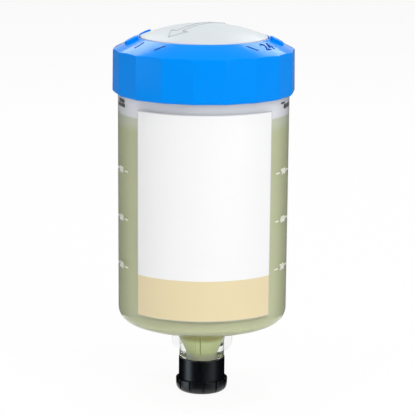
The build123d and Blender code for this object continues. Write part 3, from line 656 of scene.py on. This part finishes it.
def oil_finish(colours, top):
    """Turbid pale oil: a little light goes into it. Its colour changes from the passage's foot up through
    the passage and the funnel to the body, and is lighter towards the piston, each step between two
    heights. The dark olive in the funnel is the oil's deeper colour with painted shade of the
    reservoir's underside."""
    inside = {"Subsurface_Weight": 0.25, "Subsurface_Scale": 0.004, "Subsurface_Radius": (1.0, 1.0, 0.6)}
    finish = Finish("Oil", Specular_IOR_Level=0.1, **inside)
    height = finish.split(finish.own_place())["Z"]
    tint = opaque(colours.oil_foot)
    pale = finish.tint(colours.oil_pale, 0.82, 0.35, 35.0)
    # the funnel's dark olive is painted shade of the reservoir's underside on the oil's deeper colour
    uppers = (opaque(colours.oil_neck), opaque(colours.oil_funnel_shaded), pale, opaque(colours.oil_light))
    for upper, step in zip(uppers, (*OIL_STEPS, (top - 0.0040, top - 0.0005))):
        tint = finish.mix(finish.band(height, *step), tint, upper)
    finish.place(tint, "Base Color")
    finish.grain((0.3, 0.45))
    return finish.material


def film_finish(colours, foot):
    """Oil wiped thin: the oil's own colour up to the first seal, and pale above it. The pale is painted
    light: lighter than the piston under it, to offset the shade under the dial's overhang.
    """
    finish = Finish("Wiped film", Specular_IOR_Level=0.1)
    wiped = finish.band(finish.split(finish.own_place())["Z"], foot + 0.0004, foot + 0.0014)
    # painted light: the pale film is lit up to offset the shade under the dial
    pale = finish.tint(colours.film_painted_light, 0.93, 0.3)
    finish.place(finish.mix(wiped, opaque(colours.oil_light), pale), "Base Color")
    finish.grain((0.3, 0.4))
    return finish.material


def label_finish(colours, sizes, radius):
    """Printed film: white, a coloured band below, and a fine line along the edge, placed by the label's
    own map."""
    finish = Finish("Label film", Coat_Weight=0.25, Coat_Roughness=0.12)
    place = finish.split(finish.add("ShaderNodeUVMap", uv_map="Label").outputs["UV"])
    high = sizes.high - sizes.low
    from_edge = []
    for share, whole in ((place["X"], (sizes.right - sizes.left) * radius), (place["Y"], high)):
        near = finish.calculate("MINIMUM", share, finish.calculate("SUBTRACT", 1.0, share))
        from_edge.append(finish.calculate("MULTIPLY", near, whole))
    edge = finish.band(finish.calculate("MINIMUM", *from_edge), 0.0, 0.00042, 0.75, 0.0)
    band_top, soft = (sizes.band - sizes.low) / high, 0.002
    band = finish.band(place["Y"], band_top - soft, band_top + soft, 1.0, 0.0)
    paper = finish.tint(colours.label_white, 0.96, 0.4, 25.0)
    printed = finish.mix(band, paper, finish.tint(colours.label_band, 0.93, 0.6))
    finish.place(finish.mix(edge, printed, opaque(colours.label_line)), "Base Color")
    finish.grain((0.34, 0.42), 0.06, 0.00005, Grain_Scale=1800.0, Wave_Scale=40.0, Wave_Share=0.3)
    return finish.material


def inner_finishes(colours):
    """Finishes of the pieces inside, by material slot."""
    silicone = {"relief": 0.2, "Subsurface_Weight": 0.1, "Subsurface_Scale": 0.001}
    lacquer = {"coat": 0.5, "second": 0.6}
    return {
        "white_plastic": plain_plastic("White plastic", colours.inner_white, (0.3, 0.42)),
        "black_rubber": plain_plastic("Black rubber", (0.012, 0.012, 0.013), (0.5, 0.65), relief=0.3),
        "pale_silicone": plain_plastic("Pale silicone", (0.62, 0.61, 0.58), (0.4, 0.55), **silicone),
        "cell_steel": metal("Cell steel", (0.66, 0.66, 0.65), (0.16, 0.3)),
        "spring_steel": metal("Spring steel", (0.55, 0.55, 0.56), (0.25, 0.4)),
        "steel_ball": metal("Polished ball", (0.72, 0.72, 0.73), (0.03, 0.08)),
        "valve_brass": metal("Valve brass", (0.62, 0.44, 0.16), (0.18, 0.3)),
        "board_laminate": plain_plastic("Board laminate", (0.012, 0.11, 0.035), (0.2, 0.35), **lacquer),
        "chip_ceramic": plain_plastic("Chip body", (0.014, 0.014, 0.015), (0.35, 0.5)),
        "membrane_fleece": plain_plastic("Membrane fleece", (0.7, 0.7, 0.68), (0.7, 0.85), relief=0.6),
        "magnet": metal("Magnet", (0.5, 0.5, 0.52), (0.1, 0.22)),
    }


# ---- pieces -----------------------------------------------------------------
class PieceOperator(bpy.types.Operator):
    """Makes its pieces in the scene"""

    bl_options = {"REGISTER", "UNDO"}

    def execute(self, context):
        self.make(context.scene)
        return {"FINISHED"}


class LUBRICATOR_OT_reservoir(PieceOperator):
    """Clear reservoir with its neck, webs and outlet thread"""

    bl_idname = "lubricator.reservoir"
    bl_label = "Reservoir"

    def section(self, scene):
        """Points round the wall, and which of them lie on the thread and on the neck. Those two have rows
        of their own: the thread's are even, and the neck's follow the webs' rounded foot."""
        s, steps = scene.lub_reservoir, 12
        inner = s.radius - s.wall
        profile = soft_corners(
            [
                (s.socket, s.outlet, 0.0002),
                (s.thread_radius, s.outlet, 0.0004),
                (s.thread_radius, s.shoulder, 0),
                (s.neck_radius, s.shoulder, 0.0002),
                (s.neck_radius, s.shoulder + s.neck_height, 0.002),
                (s.neck_root, s.bottom, 0.0006),
                (wall_radius(scene, s.bottom), s.bottom, s.corner),
                (s.radius, scene.lub_dial.foot, 0),
                (s.radius, s.top, 0.0003),
                (inner, s.top, 0.0003),
                (inner, s.floor, s.corner - s.wall),
                (s.funnel, s.floor, 0.0008),
                (s.passage, s.floor - s.funnel_depth, 0.0008),
                (s.passage, s.socket_top, 0.0001),
                (s.socket, s.socket_top, 0),
            ],
            steps,
        )
        thread_rows, foot_rows, neck_rows = 96, 14, 8
        thread_z = np.linspace(s.outlet + 0.0005, s.shoulder - HAIR, thread_rows)
        thread = np.stack([np.full_like(thread_z, s.thread_radius), thread_z], axis=-1)
        round_foot = 1 - np.cos(np.linspace(0, math.pi / 2, foot_rows))
        neck_z = s.web_foot + 6 * HAIR + s.web_corner * round_foot
        neck_z = np.concatenate([neck_z, np.linspace(neck_z[-1], s.bottom - 0.0007, neck_rows)[1:]])
        bare = profile[4 * steps - 1 : 6 * steps]
        neck = np.stack([np.interp(neck_z, bare[:, 1], bare[:, 0]), neck_z], axis=-1)
        parts = [profile[: 2 * steps], thread, profile[3 * steps : 4 * steps], neck, profile[6 * steps - 1 :]]
        part = np.repeat(np.arange(len(parts)), [len(rows) for rows in parts])[:, None]
        return np.concatenate(parts), part == 1, part == 3

    def make(self, scene):
        """Rows run once round the closed wall section, columns round the axis. Between a web's sides the
        radius is the web's outer edge, a straight line over a quarter circle, where that lies outside the
        neck, and the columns at its sides keep a constant distance from its middle plane. The thread
        lowers the radius by a flat-topped wave of the height over the pitch less the azimuth over one
        turn."""
        s = scene.lub_reservoir
        profile, on_thread, on_neck = self.section(scene)
        r, z = profile[:, 0, None], profile[:, 1, None]
        rise = np.clip(s.web_foot + s.web_corner - z, 0, s.web_corner)
        edge = s.web_reach - s.web_corner + np.sqrt(s.web_corner**2 - rise**2)
        web_r = np.where(on_neck, np.maximum(r, edge), r)
        half = s.web_thickness / 2
        near = np.where(on_neck, np.arcsin(half / np.maximum(r, WEB_LEAST)), math.asin(half / s.neck_root))
        far = np.where(on_neck, np.arcsin(half / np.maximum(web_r, WEB_LEAST)), near * 0.94)
        step = TAU / s.web_count
        between = np.linspace(0, 1, 30)[None, :]
        local = np.concatenate([-far, 0 * far, far, near + (step - 2 * near) * between], axis=1)
        on_web = np.tile(np.arange(local.shape[1]) < 3, s.web_count)
        turn = np.arange(s.web_count) * step + s.web_azimuth
        azimuth = (local[:, None, :] + turn[None, :, None]).reshape(len(profile), -1)
        wave = np.abs(2 * np.mod(z / s.thread_pitch - azimuth / TAU, 1) - 1)
        flat = 0.175
        groove = s.thread_depth * np.clip((1 + 2 * flat) * wave - flat, 0, 1)
        start, end, run_in = s.outlet + 0.0004, s.shoulder - 0.0004, 0.0008
        groove = groove * np.clip((z - start) / run_in, 0, 1) * np.clip((end - z) / run_in, 0, 1)
        radius = np.where(on_web, web_r, r) - np.where(on_thread, groove, 0)
        piece = skin("clear_reservoir", on_axis(radius, azimuth, z), crease=40)
        fit_out(piece, "housing", clear_plastic(), "clear_plastic", "reservoir")


class LUBRICATOR_OT_oil(PieceOperator):
    """Oil: a column that the piston pushes out, over a heel in the corner, the funnel and the passage"""

    bl_idname = "lubricator.oil"
    bl_label = "Oil"

    def make(self, scene):
        """All are sections carried round the axis. Their radius is a little more than the wall's inside,
        so that the wall is wet. The film is a thin sleeve between the piston and the wall, as long as the
        piston."""
        s, oil, colours = scene.lub_reservoir, scene.lub_oil, scene.lub_colours
        finish = oil_finish(colours, oil.top)
        wet = s.radius - s.wall + EMBED
        levels = np.linspace(oil.split, oil.top, 24)
        side = np.stack([np.full_like(levels, wet), levels], axis=-1)
        column = turned("oil_column", np.concatenate([[(0, oil.split)], side, [(0, oil.top)]]))
        fit_out(column, "housing", finish, "oil", "oil_fill")
        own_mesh(column)
        heel = [
            (0, s.socket_top + VALVE_GAP, 0),
            (s.passage + EMBED, s.socket_top + VALVE_GAP, 0),
            (s.passage + EMBED, s.floor - s.funnel_depth, 0.0008),
            (s.funnel + EMBED, s.floor - EMBED, 0.0008),
            (wet, s.floor - EMBED, s.corner - s.wall),
            (wet, oil.split, 0),
            (0, oil.split, 0),
        ]
        fit_out(turned("oil_heel_liquid", soft_corners(heel, 10)), "housing", finish, "oil", "oil_heel")
        low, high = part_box("piston")
        piston = (high.x - low.x) / 2
        film = np.array([(piston, low.z), (wet, low.z), (wet, high.z), (piston, high.z)])
        fit_out(turned("wiped_film", film), "piston", film_finish(colours, low.z), "oil")


class LUBRICATOR_OT_label(PieceOperator):
    """Label film round the front of the reservoir"""

    bl_idname = "lubricator.label"
    bl_label = "Label"

    def make(self, scene):
        """Rows run up the outer face and down the inner one, columns from the left edge to the right. The
        radius follows the reservoir's draft, and the map gives the shares of the width and of the height."""
        s = scene.lub_label
        height = np.linspace(s.low, s.high, 20)
        azimuth = np.linspace(s.left, s.right, 72)
        base = wall_radius(scene, height) + s.lift
        radius = np.concatenate([base + s.thickness, base[::-1]])
        height = np.concatenate([height, height[::-1]])
        grid = on_axis(radius[:, None], azimuth[None, :], height[:, None])
        piece = skin("label_film", grid, open_columns=True, merge=False)
        across = (azimuth - s.left) / (s.right - s.left)
        along = (height - s.low) / (s.high - s.low)
        spread = np.stack(np.broadcast_arrays(across[None, :], along[:, None]), axis=-1).reshape(-1, 2)
        corner = np.empty(len(piece.data.loops), np.int32)
        piece.data.loops.foreach_get("vertex_index", corner)
        piece.data.uv_layers.new(name="Label").data.foreach_set("uv", spread[corner].ravel())
        finish = label_finish(scene.lub_colours, s, scene.lub_reservoir.radius)
        fit_out(piece, "housing", finish, "label_film", "label")


class LUBRICATOR_OT_scale(PieceOperator):
    """Raised level scale on both sides of the label, and dark patches behind the wall under the dial"""

    bl_idname = "lubricator.scale"
    bl_label = "Level scale"

    def make(self, scene):
        """A point at x along the line, y up and z out of the face goes to the azimuth plus x over the
        radius, the height plus y, and the wall's radius plus z."""
        s, colours = scene.lub_scale, scene.lub_colours
        texts = s.figures.split()
        sides = np.repeat([s.left, s.right], len(texts))
        heights = np.tile(s.top - s.spacing * np.arange(len(texts)), 2)

        def on_wall(points, k, shift=0.0, wide=1.0):
            height = heights[k] + points[:, 1]
            radius = wall_radius(scene, height)
            return on_axis(radius + points[:, 2], sides[k] + (points[:, 0] * wide + shift) / radius, height)

        finish = plain_plastic("Scale figures", colours.scale_cream, (0.3, 0.4))
        figures = lettering(
            "level_figures", texts * 2, s.size, s.depth, lambda points, k: on_wall(points, k, wide=s.width)
        )
        fit_out(figures, "housing", finish, "clear_plastic")
        dashes = []
        half_x, half_y = s.dash / 2, s.dash_thickness / 2
        for shift in (-s.dash_away, s.dash_away):
            place = partial(on_wall, shift=shift)
            dashes += pads(len(sides), half_x, half_y, PAD_ROOT, s.dash_raise, place)
        fit_out(joined("level_dashes", dashes), "housing", finish, "clear_plastic")
        # dark grey pads on the inside of the wall at both edges under the dial
        dark = plain_plastic("Dark patches", colours.mark_grey, (0.4, 0.5))
        fit_out(joined("head_dark_patches", self.patches(scene.lub_reservoir)), "housing", dark, "black_rubber")

    def patches(self, wall):
        """Low pads on the inside of the wall, each at an azimuth and a height."""
        inner = wall.radius - wall.wall
        grids = []
        for azimuth, half_angle, height, half_height in DARK_PATCHES:

            def place(points, k):
                turn = math.radians(azimuth) + points[:, 0] / inner
                return on_axis(inner + points[:, 2], turn, height + points[:, 1])

            grids += pads(1, math.radians(half_angle) * inner, half_height, *PATCH_DEPTH, place)
        return grids


class LUBRICATOR_OT_cap(PieceOperator):
    """Closing cap with its grip cup"""

    bl_idname = "lubricator.cap"
    bl_label = "Closing cap"

    def make(self, scene):
        """Rows run round the closed section. In a grip groove the radius is at most the cup's radius less
        the depth; the columns stand closer together at the grooves' edges."""
        s = scene.lub_cap
        groove_r, groove_z = s.radius + s.rim_gap, s.cup_height - s.rim_depth
        profile = soft_corners(
            [
                (0, 0, 0),
                (s.cup_radius, 0, s.cup_corner),
                (s.cup_radius + s.cup_flare, s.cup_height, 0.00014),
                (groove_r, s.cup_height, 0.00014),
                (groove_r, groove_z, 0.00008),
                (s.radius, groove_z, 0.00008),
                (s.radius, s.height, 0.0004),
                (s.bore, s.height, 0.0001),
                (s.bore, s.floor, 0.0002),
                (0, s.floor, 0),
            ],
            12,
        )
        half = s.grip_width / 2 / s.cup_radius
        local = half * np.array([-1.3, -1.12, -0.9, 0, 0.9, 1.12, 1.3])
        step = TAU / s.grip_count
        local = np.concatenate([local, np.linspace(local[-1], step + local[0], 9)[1:-1]])
        azimuth = (local[None, :] + step * np.arange(s.grip_count)[:, None]).ravel() + s.grip_azimuth
        in_groove = np.tile(np.abs(local) < half, s.grip_count)[None, :]
        r, z = profile[:, 0, None], profile[:, 1, None]
        on_cup = (r > s.radius + s.rim_gap / 2) & (z < s.cup_height + HAIR)
        radius = np.where(on_cup & in_groove, np.minimum(r, s.cup_radius - s.grip_depth), r)
        piece = skin("ribbed_cap", on_axis(radius, azimuth[None, :], z))
        black = scene.lub_colours.cap_black
        finish = plain_plastic("Black plastic", black, (0.26, 0.34), Specular_IOR_Level=0.5)
        fit_out(piece, "cap", finish, "black_plastic", "closing_cap")


class LUBRICATOR_OT_dial(PieceOperator):
    """Faceted setting dial with its cone and grips"""

    bl_idname = "lubricator.dial"
    bl_label = "Setting dial"

    def make(self, scene):
        """A flat's radius is its middle radius over the cosine of the azimuth from its middle, and near a
        corner it is a circle of the edge rounding tangent to both flats. The middle radius falls with the
        draft, and a column's upper edge is where its flat, as a straight line of radius over height,
        meets the straight line of the cone."""
        s = scene.lub_dial
        half, flat, rounding = math.pi / s.facets, s.flat_radius, s.corner_round
        tangent = math.atan((flat - rounding) * math.tan(half) / flat)
        bend = np.linspace(tangent, 2 * half - tangent, 8)[1:-1]
        from_middle = np.concatenate([np.linspace(-tangent, tangent, 7), bend])
        turn = half + 2 * half * np.arange(s.facets)[:, None] + s.first
        azimuth = (from_middle[None, :] + turn).ravel()
        from_middle = np.tile(from_middle, s.facets)
        on_flat = np.abs(from_middle) <= tangent * 1.0001
        centre, from_corner = (flat - rounding) / math.cos(half), from_middle - half
        aside = np.where(on_flat, 0, centre * np.sin(from_corner))
        arc = centre * np.cos(from_corner) + np.sqrt(rounding**2 - aside**2)
        form = np.where(on_flat, 1 / np.cos(from_middle), arc / flat)
        slope, fall = math.tan(s.draft), cone_fall(s)
        cone_top = s.hole_top + fall * s.hole
        edge_z = (cone_top - fall * form * (flat + s.foot * slope)) / (1 - fall * form * slope)

        def face(z):
            return form * (flat - (z - s.foot) * slope)

        def under(r):
            return s.hole_top - fall * (r - s.hole) - s.cone_thickness

        lip_foot = s.lip_top - s.lip_height
        corners = [
            (s.inner, s.foot, 0.00015),
            (face(s.foot) - s.chamfer, s.foot, 0.0002),
            (face(s.foot + s.chamfer), s.foot + s.chamfer, 0.0002),
            (face(edge_z), edge_z, s.edge_round),
            (s.hole, s.hole_top, 0.0003),
            (s.hole, s.lip_top, 0.0002),
            (s.lip_radius, s.lip_top, 0.0001),
            (s.lip_radius, lip_foot, 0.0001),
            (s.hub_inner, lip_foot, 0),
            (s.hub_inner, s.hub_foot, 0.0001),
            (s.hub_outer, s.hub_foot, 0.0001),
            (s.hub_outer, under(s.hub_outer), 0.0003),
            (s.inner, under(s.inner), 0.0003),
        ]
        sections = [np.stack(np.broadcast_arrays(*corner, form)[:3], axis=-1) for corner in corners]
        profile = soft_corners(np.stack(sections, axis=1))
        grid = on_axis(profile[..., 0].T, azimuth[None, :], profile[..., 1].T)
        finish = plain_plastic(
            "Blue plastic", scene.lub_colours.dial_blue, (0.13, 0.18),
            relief=0.04, tone=0.25, second=0.9, Specular_IOR_Level=0.035,
        )
        fit_out(skin("faceted_dial", grid, crease=60), "dial", finish, "blue_plastic", "setting_dial")
        fit_out(joined("dial_grips", self.grips(s, fall)), "dial", finish, "blue_plastic")

    def grips(self, s, fall):
        """Bars that stand on the cone. A point at x along the rim and y outwards goes to the azimuth plus
        the angle of x over the radius, and keeps its distance from the cone."""
        middle = s.hole + s.grip_inset + s.grip_length / 2

        def on_cone(points, k):
            radius = middle + points[:, 1]
            height = s.hole_top - fall * (radius - s.hole) + points[:, 2]
            turn = math.radians(DIAL_GRIPS[k]) + np.arctan2(points[:, 0], radius)
            return on_axis(np.hypot(radius, points[:, 0]), turn, height)

        half_x, half_y = s.grip_width / 2, s.grip_length / 2
        return pads(len(DIAL_GRIPS), half_x, half_y, 6 * PAD_ROOT, s.grip_height, on_cone, 0.2)


class LUBRICATOR_OT_figures(PieceOperator):
    """Figures and index ticks of the dial, in a dark navy that is painted shade of their engraving"""

    bl_idname = "lubricator.figures"
    bl_label = "Dial figures"

    def make(self, scene):
        """A point at x along the line and y up the figure goes to the azimuth plus x over the radius, and
        to the middle radius less y times the cosine of the cone's slope; z lifts it off the cone."""
        s = scene.lub_dial
        fall = cone_fall(s)
        level = math.cos(math.atan(fall))

        def on_cone(points, azimuth, middle):
            radius = middle - points[:, 1] * level
            height = s.hole_top - fall * (radius - s.hole) + points[:, 2]
            return on_axis(radius, azimuth + points[:, 0] / radius, height)

        def upright(points, k):
            return on_cone(points, s.figure_first + s.figure_step * k, s.figure_radius)

        def slanted(points, k):
            azimuth, slant = ((s.tick_left, -s.tick_slant), (s.tick_right, s.tick_slant))[k]
            along = points @ np.array(Matrix.Rotation(-slant, 3, "Z"))
            return on_cone(along, azimuth, s.tick_radius)

        # painted shade: the navy of the figures and ticks stands in for the shade inside their engraving
        navy = scene.lub_colours.engraving_shade_navy
        finish = plain_plastic("Figure shade", navy, (0.5, 0.6), Specular_IOR_Level=0.02)
        figures = lettering("dial_figures", s.figures.split(), s.figure_size, s.figure_depth, upright)
        fit_out(figures, "dial", finish, "blue_plastic")
        ticks = pads(2, s.tick_width / 2, s.tick_length / 2, PAD_ROOT, s.tick_raise, slanted)
        fit_out(joined("index_ticks", ticks), "dial", finish, "blue_plastic")


class LUBRICATOR_OT_dome(PieceOperator):
    """Domed cover with its raised arrow"""

    bl_idname = "lubricator.dome"
    bl_label = "Domed cover"

    def make(self, scene):
        """The dome's section is a circle through the rim and the crown, and a second circle under it."""
        s, white = scene.lub_dome, scene.lub_colours.dome_white
        ball = (s.radius**2 + s.rise**2) / (2 * s.rise)

        def crown(r):
            return s.rim + s.rise - ball + np.sqrt(ball**2 - r**2)

        def upper(r):
            return np.stack([r, crown(r)], axis=-1)

        def lower(r):
            return np.stack([r, crown(r) - s.thickness], axis=-1)

        out, back = np.linspace(0, s.radius - 0.0002, 40), np.linspace(s.radius, 0, 30)
        skirt_in = s.skirt - s.skirt_wall
        edge = [
            (s.radius - 0.00006, s.rim - 0.00002),
            (s.radius, s.rim - 0.00012),
            (s.radius, s.rim - s.thickness),
        ]
        ring = back[(back < s.radius) & (back > s.skirt)]
        core = back[back < skirt_in]
        skirt = [lower(s.skirt), (s.skirt, s.skirt_foot), (skirt_in, s.skirt_foot), lower(skirt_in)]
        profile = np.concatenate([upper(out), edge, lower(ring), skirt, lower(core)])
        frosted = {"rough": (0.3, 0.38), "Specular_IOR_Level": 0.06}
        finish = plain_plastic(
            "Frosted plastic", white, relief=0.03, tone=0.2, second=0.93,
            Subsurface_Weight=0.15, Subsurface_Scale=0.002, **frosted,
        )
        fit_out(turned("domed_cover", profile, 180), "housing", finish, "frosted_plastic", "dome_cover")
        # painted shade: the raised line is 0.8 of the dome's colour, standing in for the shade along its
        # sides
        line = plain_plastic("Raised line in painted shade", shade(white, 0.8), **frosted)
        fit_out(self.arrow(s, crown), "housing", line, "frosted_plastic")

    def arrow(self, s, crown):
        """A half-round section carried along the arrow's closed outline, at the dome's height at each
        point."""
        tip, tail, neck = s.arrow_tip, s.arrow_tip - s.arrow_length, s.arrow_tip - s.arrow_head
        half, shaft = s.arrow_width / 2, s.arrow_shaft / 2
        path = soft_corners(
            [
                (tip, 0, 0.0006),
                (neck, half, 0.0005),
                (neck, shaft, 0.0003),
                (tail, shaft, 0.0004),
                (tail, -shaft, 0.0004),
                (neck, -shaft, 0.0003),
                (neck, -half, 0.0005),
            ],
            7,
        )
        ahead = np.roll(path, -1, axis=0) - path
        between = np.arange(4)[:, None] / 4
        path = (path[:, None, :] + ahead[:, None, :] * between).reshape(-1, 2)
        path = path[np.linalg.norm(path - np.roll(path, 1, axis=0), axis=1) > 1e-7]
        along = np.roll(path, -1, axis=0) - np.roll(path, 1, axis=0)
        along /= np.linalg.norm(along, axis=1, keepdims=True)
        inward = np.stack([-along[:, 1], along[:, 0]], axis=-1)
        turn = np.linspace(0, math.pi, 9)
        across = np.concatenate([1 - np.cos(turn), [2, 0]]) * s.arrow_line / 2
        lift = np.concatenate([np.sin(turn) * s.arrow_raise, [3 * PAD_ROOT] * 2])
        flat = path[None] + inward[None] * across[:, None, None]
        forward, aside = flat[..., 0], flat[..., 1]
        c, sn = math.cos(s.arrow_azimuth), math.sin(s.arrow_azimuth)
        height = crown(np.hypot(forward, aside)) + lift[:, None]
        grid = np.stack([forward * sn + aside * c, aside * sn - forward * c, height], axis=-1)
        return skin("raised_arrow", grid)


class LUBRICATOR_OT_inside(PieceOperator):
    """Valve spring, and the finishes of the pieces inside: piston, gas head, cells, circuit and oil valve"""

    bl_idname = "lubricator.inside"
    bl_label = "Pieces inside"

    def make(self, scene):
        finishes = inner_finishes(scene.lub_colours)
        self.spring(scene.lub_spring, finishes["spring_steel"])
        for part in frame["record"]["subparts"]:
            piece = frame["nodes"][part["node"]]
            finish = finishes.get(part["material_slot"])
            if finish is None or piece.hide_render:
                continue
            for place in piece.material_slots:
                place.material = finish

    def spring(self, s, finish):
        """Wire under the valve ball. Its middle line climbs in proportion to the azimuth, at a constant
        radius. Each column is a circle of the wire's radius about that line, in the plane through the
        axis."""
        low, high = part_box("valve_spring")
        turn = np.linspace(0, s.turns * TAU, s.turns * 32 + 1)
        climb = low.z + s.wire + (high.z - low.z - 2 * s.wire) * turn / turn[-1]
        round_wire = np.linspace(0, TAU, 10, endpoint=False)[:, None]
        radius = high.x - s.wire + s.wire * np.cos(round_wire)
        grid = on_axis(radius, TAU / 4 + turn[None, :], climb[None, :] + s.wire * np.sin(round_wire))
        coil = skin("valve_coil", grid, open_columns=True)
        fit_out(coil, "housing", finish, "spring_steel", "valve_spring")
        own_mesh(coil)


# ---- studio -----------------------------------------------------------------
class LUBRICATOR_OT_stage(PieceOperator):
    """Floor, soft lamps, surroundings and camera"""

    bl_idname = "lubricator.stage"
    bl_label = "Studio"

    def make(self, scene):
        self.floor()
        self.surroundings(scene)
        self.flags()
        self.lamps(scene.lub_studio)
        self.camera(scene)

    def floor(self):
        """Flat square just under the cap."""
        side, level = 3.0, -2e-5
        mesh = bpy.data.meshes.new("floor")
        corners = [(x * side, y * side, level) for x, y in ((-1, -1), (1, -1), (1, 1), (-1, 1))]
        mesh.from_pydata(corners, [], [(0, 1, 2, 3)])
        shown("floor", mesh)
        finish = Finish("Floor", Base_Color=(0.95, 0.95, 0.95, 1), Roughness=0.9, Specular_IOR_Level=0.0)
        glow = finish.add("ShaderNodeEmission", {"Strength": 1.0})
        share = finish.white_to_view(0.94)
        finish.choose(share, finish.shader.outputs[0], glow.outputs[0], "Material Output")
        mesh.materials.append(finish.material)

    def flags(self):
        """Upright curved cards that only reflections show. Two behind the object darken from their front
        edge to the middle, along a cubic step, and draw the edges of glossy walls. A ring close round the
        cap is dark, with two bell-shaped lights."""
        front, back, fade_from, fade_over, fade = 78, 178, 83, 35, 0.8
        azimuth = np.linspace(front, back, 65)
        step = np.clip((azimuth - fade_from) / fade_over, 0, 1)
        glow = 1 - fade * step**2 * (3 - 2 * step)
        for side in (-1, 1):
            self.card(radius=0.075, azimuth=side * azimuth, top=0.112, glow=glow, tint=(1, 1, 1, 1))
        azimuth = np.linspace(-180, 180, 181)
        glow = sum(level * np.exp(-(((azimuth - at) / width) ** 2)) for level, at, width in CAP_LIGHTS)
        self.card(radius=0.0125, azimuth=azimuth, top=0.0118, glow=glow, tint=(0.74, 0.9, 1, 1))

    def card(self, radius, azimuth, top, glow, tint):
        """Curved card from the floor up, with its own glow at each azimuth."""
        mesh = bpy.data.meshes.new("flag")
        points = on_axis(radius, np.radians(azimuth)[None, :], np.array([[0.0], [top]]))
        here = np.arange(2 * len(azimuth)).reshape(2, -1)
        faces = np.stack([here[0, :-1], here[0, 1:], here[1, 1:], here[1, :-1]], axis=-1)
        mesh.from_pydata(points.reshape(-1, 3), [], faces.tolist())
        share = mesh.attributes.new("Glow", "FLOAT", "POINT")
        share.data.foreach_set("value", np.tile(glow, 2).astype(np.float32))
        card = shown("flag", mesh)
        for kind in ("camera", "diffuse", "transmission", "volume_scatter", "shadow"):
            setattr(card, f"visible_{kind}", False)
        finish = Finish("Graded flag")
        strength = finish.add("ShaderNodeAttribute", attribute_name="Glow").outputs["Fac"]
        light = finish.add("ShaderNodeEmission", {"Color": tint, "Strength": strength})
        finish.feed(finish.tree.nodes["Material Output"].inputs["Surface"], light.outputs[0])
        mesh.materials.append(finish.material)

    def surroundings(self, scene):
        scene.world = bpy.data.worlds.new("Surroundings")
        scene.world.use_nodes = True
        nodes = Nodes(scene.world.node_tree)
        white = (1, 1, 1, 1)
        plain = nodes.add("ShaderNodeBackground", {"Color": white, "Strength": scene.lub_studio.ambient})
        bright = nodes.add("ShaderNodeBackground", {"Color": white, "Strength": 1.0})
        nodes.choose(nodes.white_to_view(1.0), plain.outputs[0], bright.outputs[0], "World Output")

    def lamps(self, s):
        """Rectangular lamps, turned towards the middle of the object from a distance, an azimuth and a
        rise."""
        for name, power, size, distance, azimuth, rise in (
            ("key_softbox", s.key_power, (0.5, 0.9), 1.2, 35, 22),
            ("fill_softbox", s.fill_power, (0.6, 0.9), 1.3, -50, 14),
            ("left_strip", s.strip_power, (0.04, 0.25), 0.3, -73, 21.5),
            ("top_softbox", s.top_power, (0.9, 0.9), 1.2, 10, 80),
            ("rear_strip", s.rear_power, (0.17, 0.25), 0.8, -159, 36),
            ("rear_strip", s.rear_power, (0.17, 0.25), 0.8, 159, 36),
        ):
            lamp = bpy.data.lights.new(name, "AREA")
            lamp.shape = "RECTANGLE"
            lamp.size, lamp.size_y = size
            lamp.energy = power
            tilt = Matrix.Rotation(math.radians(90 - rise), 4, "X")
            turn = Matrix.Rotation(math.radians(azimuth), 4, "Z") @ tilt
            box = shown(name, lamp)
            middle = Matrix.Translation((0, 0, 0.06))
            box.matrix_world = middle @ turn @ Matrix.Translation((0, 0, distance))
            box.visible_camera = False

    def camera(self, scene):
        s = scene.lub_studio
        lens = bpy.data.cameras.new("camera")
        lens.sensor_width = 36
        lens.lens = s.lens
        camera = shown("camera", lens)
        pitch = Matrix.Rotation(math.pi / 2 - s.pitch, 4, "X")
        aim = Matrix.Rotation(-s.yaw, 4, "Z") @ pitch @ Matrix.Rotation(s.roll, 4, "Z")
        camera.matrix_world = Matrix.Translation((0, -s.distance, s.height)) @ aim
        scene.camera = camera
        scene.view_settings.view_transform = "Standard"


OPERATORS = (
    LUBRICATOR_OT_reservoir,
    LUBRICATOR_OT_oil,
    LUBRICATOR_OT_label,
    LUBRICATOR_OT_scale,
    LUBRICATOR_OT_cap,
    LUBRICATOR_OT_dial,
    LUBRICATOR_OT_figures,
    LUBRICATOR_OT_dome,
    LUBRICATOR_OT_inside,
    LUBRICATOR_OT_stage,
)


class LUBRICATOR_PT_pieces(bpy.types.Panel):
    """Builds the lubricator's pieces and shows their sizes and colours"""

    bl_idname = "LUBRICATOR_PT_pieces"
    bl_label = "Automatic lubricator"
    bl_space_type = "VIEW_3D"
    bl_region_type = "UI"
    bl_category = "Lubricator"

    def draw(self, context):
        column = self.layout.column(align=True)
        for operator in OPERATORS:
            column.operator(operator.bl_idname)
        for name in GROUPS:
            box = self.layout.box()
            values = getattr(context.scene, name)
            for key in values.bl_rna.properties.keys():
                if key not in {"rna_type", "name"}:
                    box.prop(values, key)


def register():
    for name, group in GROUPS.items():
        bpy.utils.register_class(group)
        setattr(bpy.types.Scene, name, PointerProperty(type=group))
    for part in (*OPERATORS, LUBRICATOR_PT_pieces):
        bpy.utils.register_class(part)


def unregister():
    for part in (LUBRICATOR_PT_pieces, *reversed(OPERATORS)):
        bpy.utils.unregister_class(part)
    for name, group in GROUPS.items():
        delattr(bpy.types.Scene, name)
        bpy.utils.unregister_class(group)


def main():
    register()
    for operator in OPERATORS:
        family, step = operator.bl_idname.split(".")
        getattr(getattr(bpy.ops, family), step)()


if __name__ == "__main__":
    main()
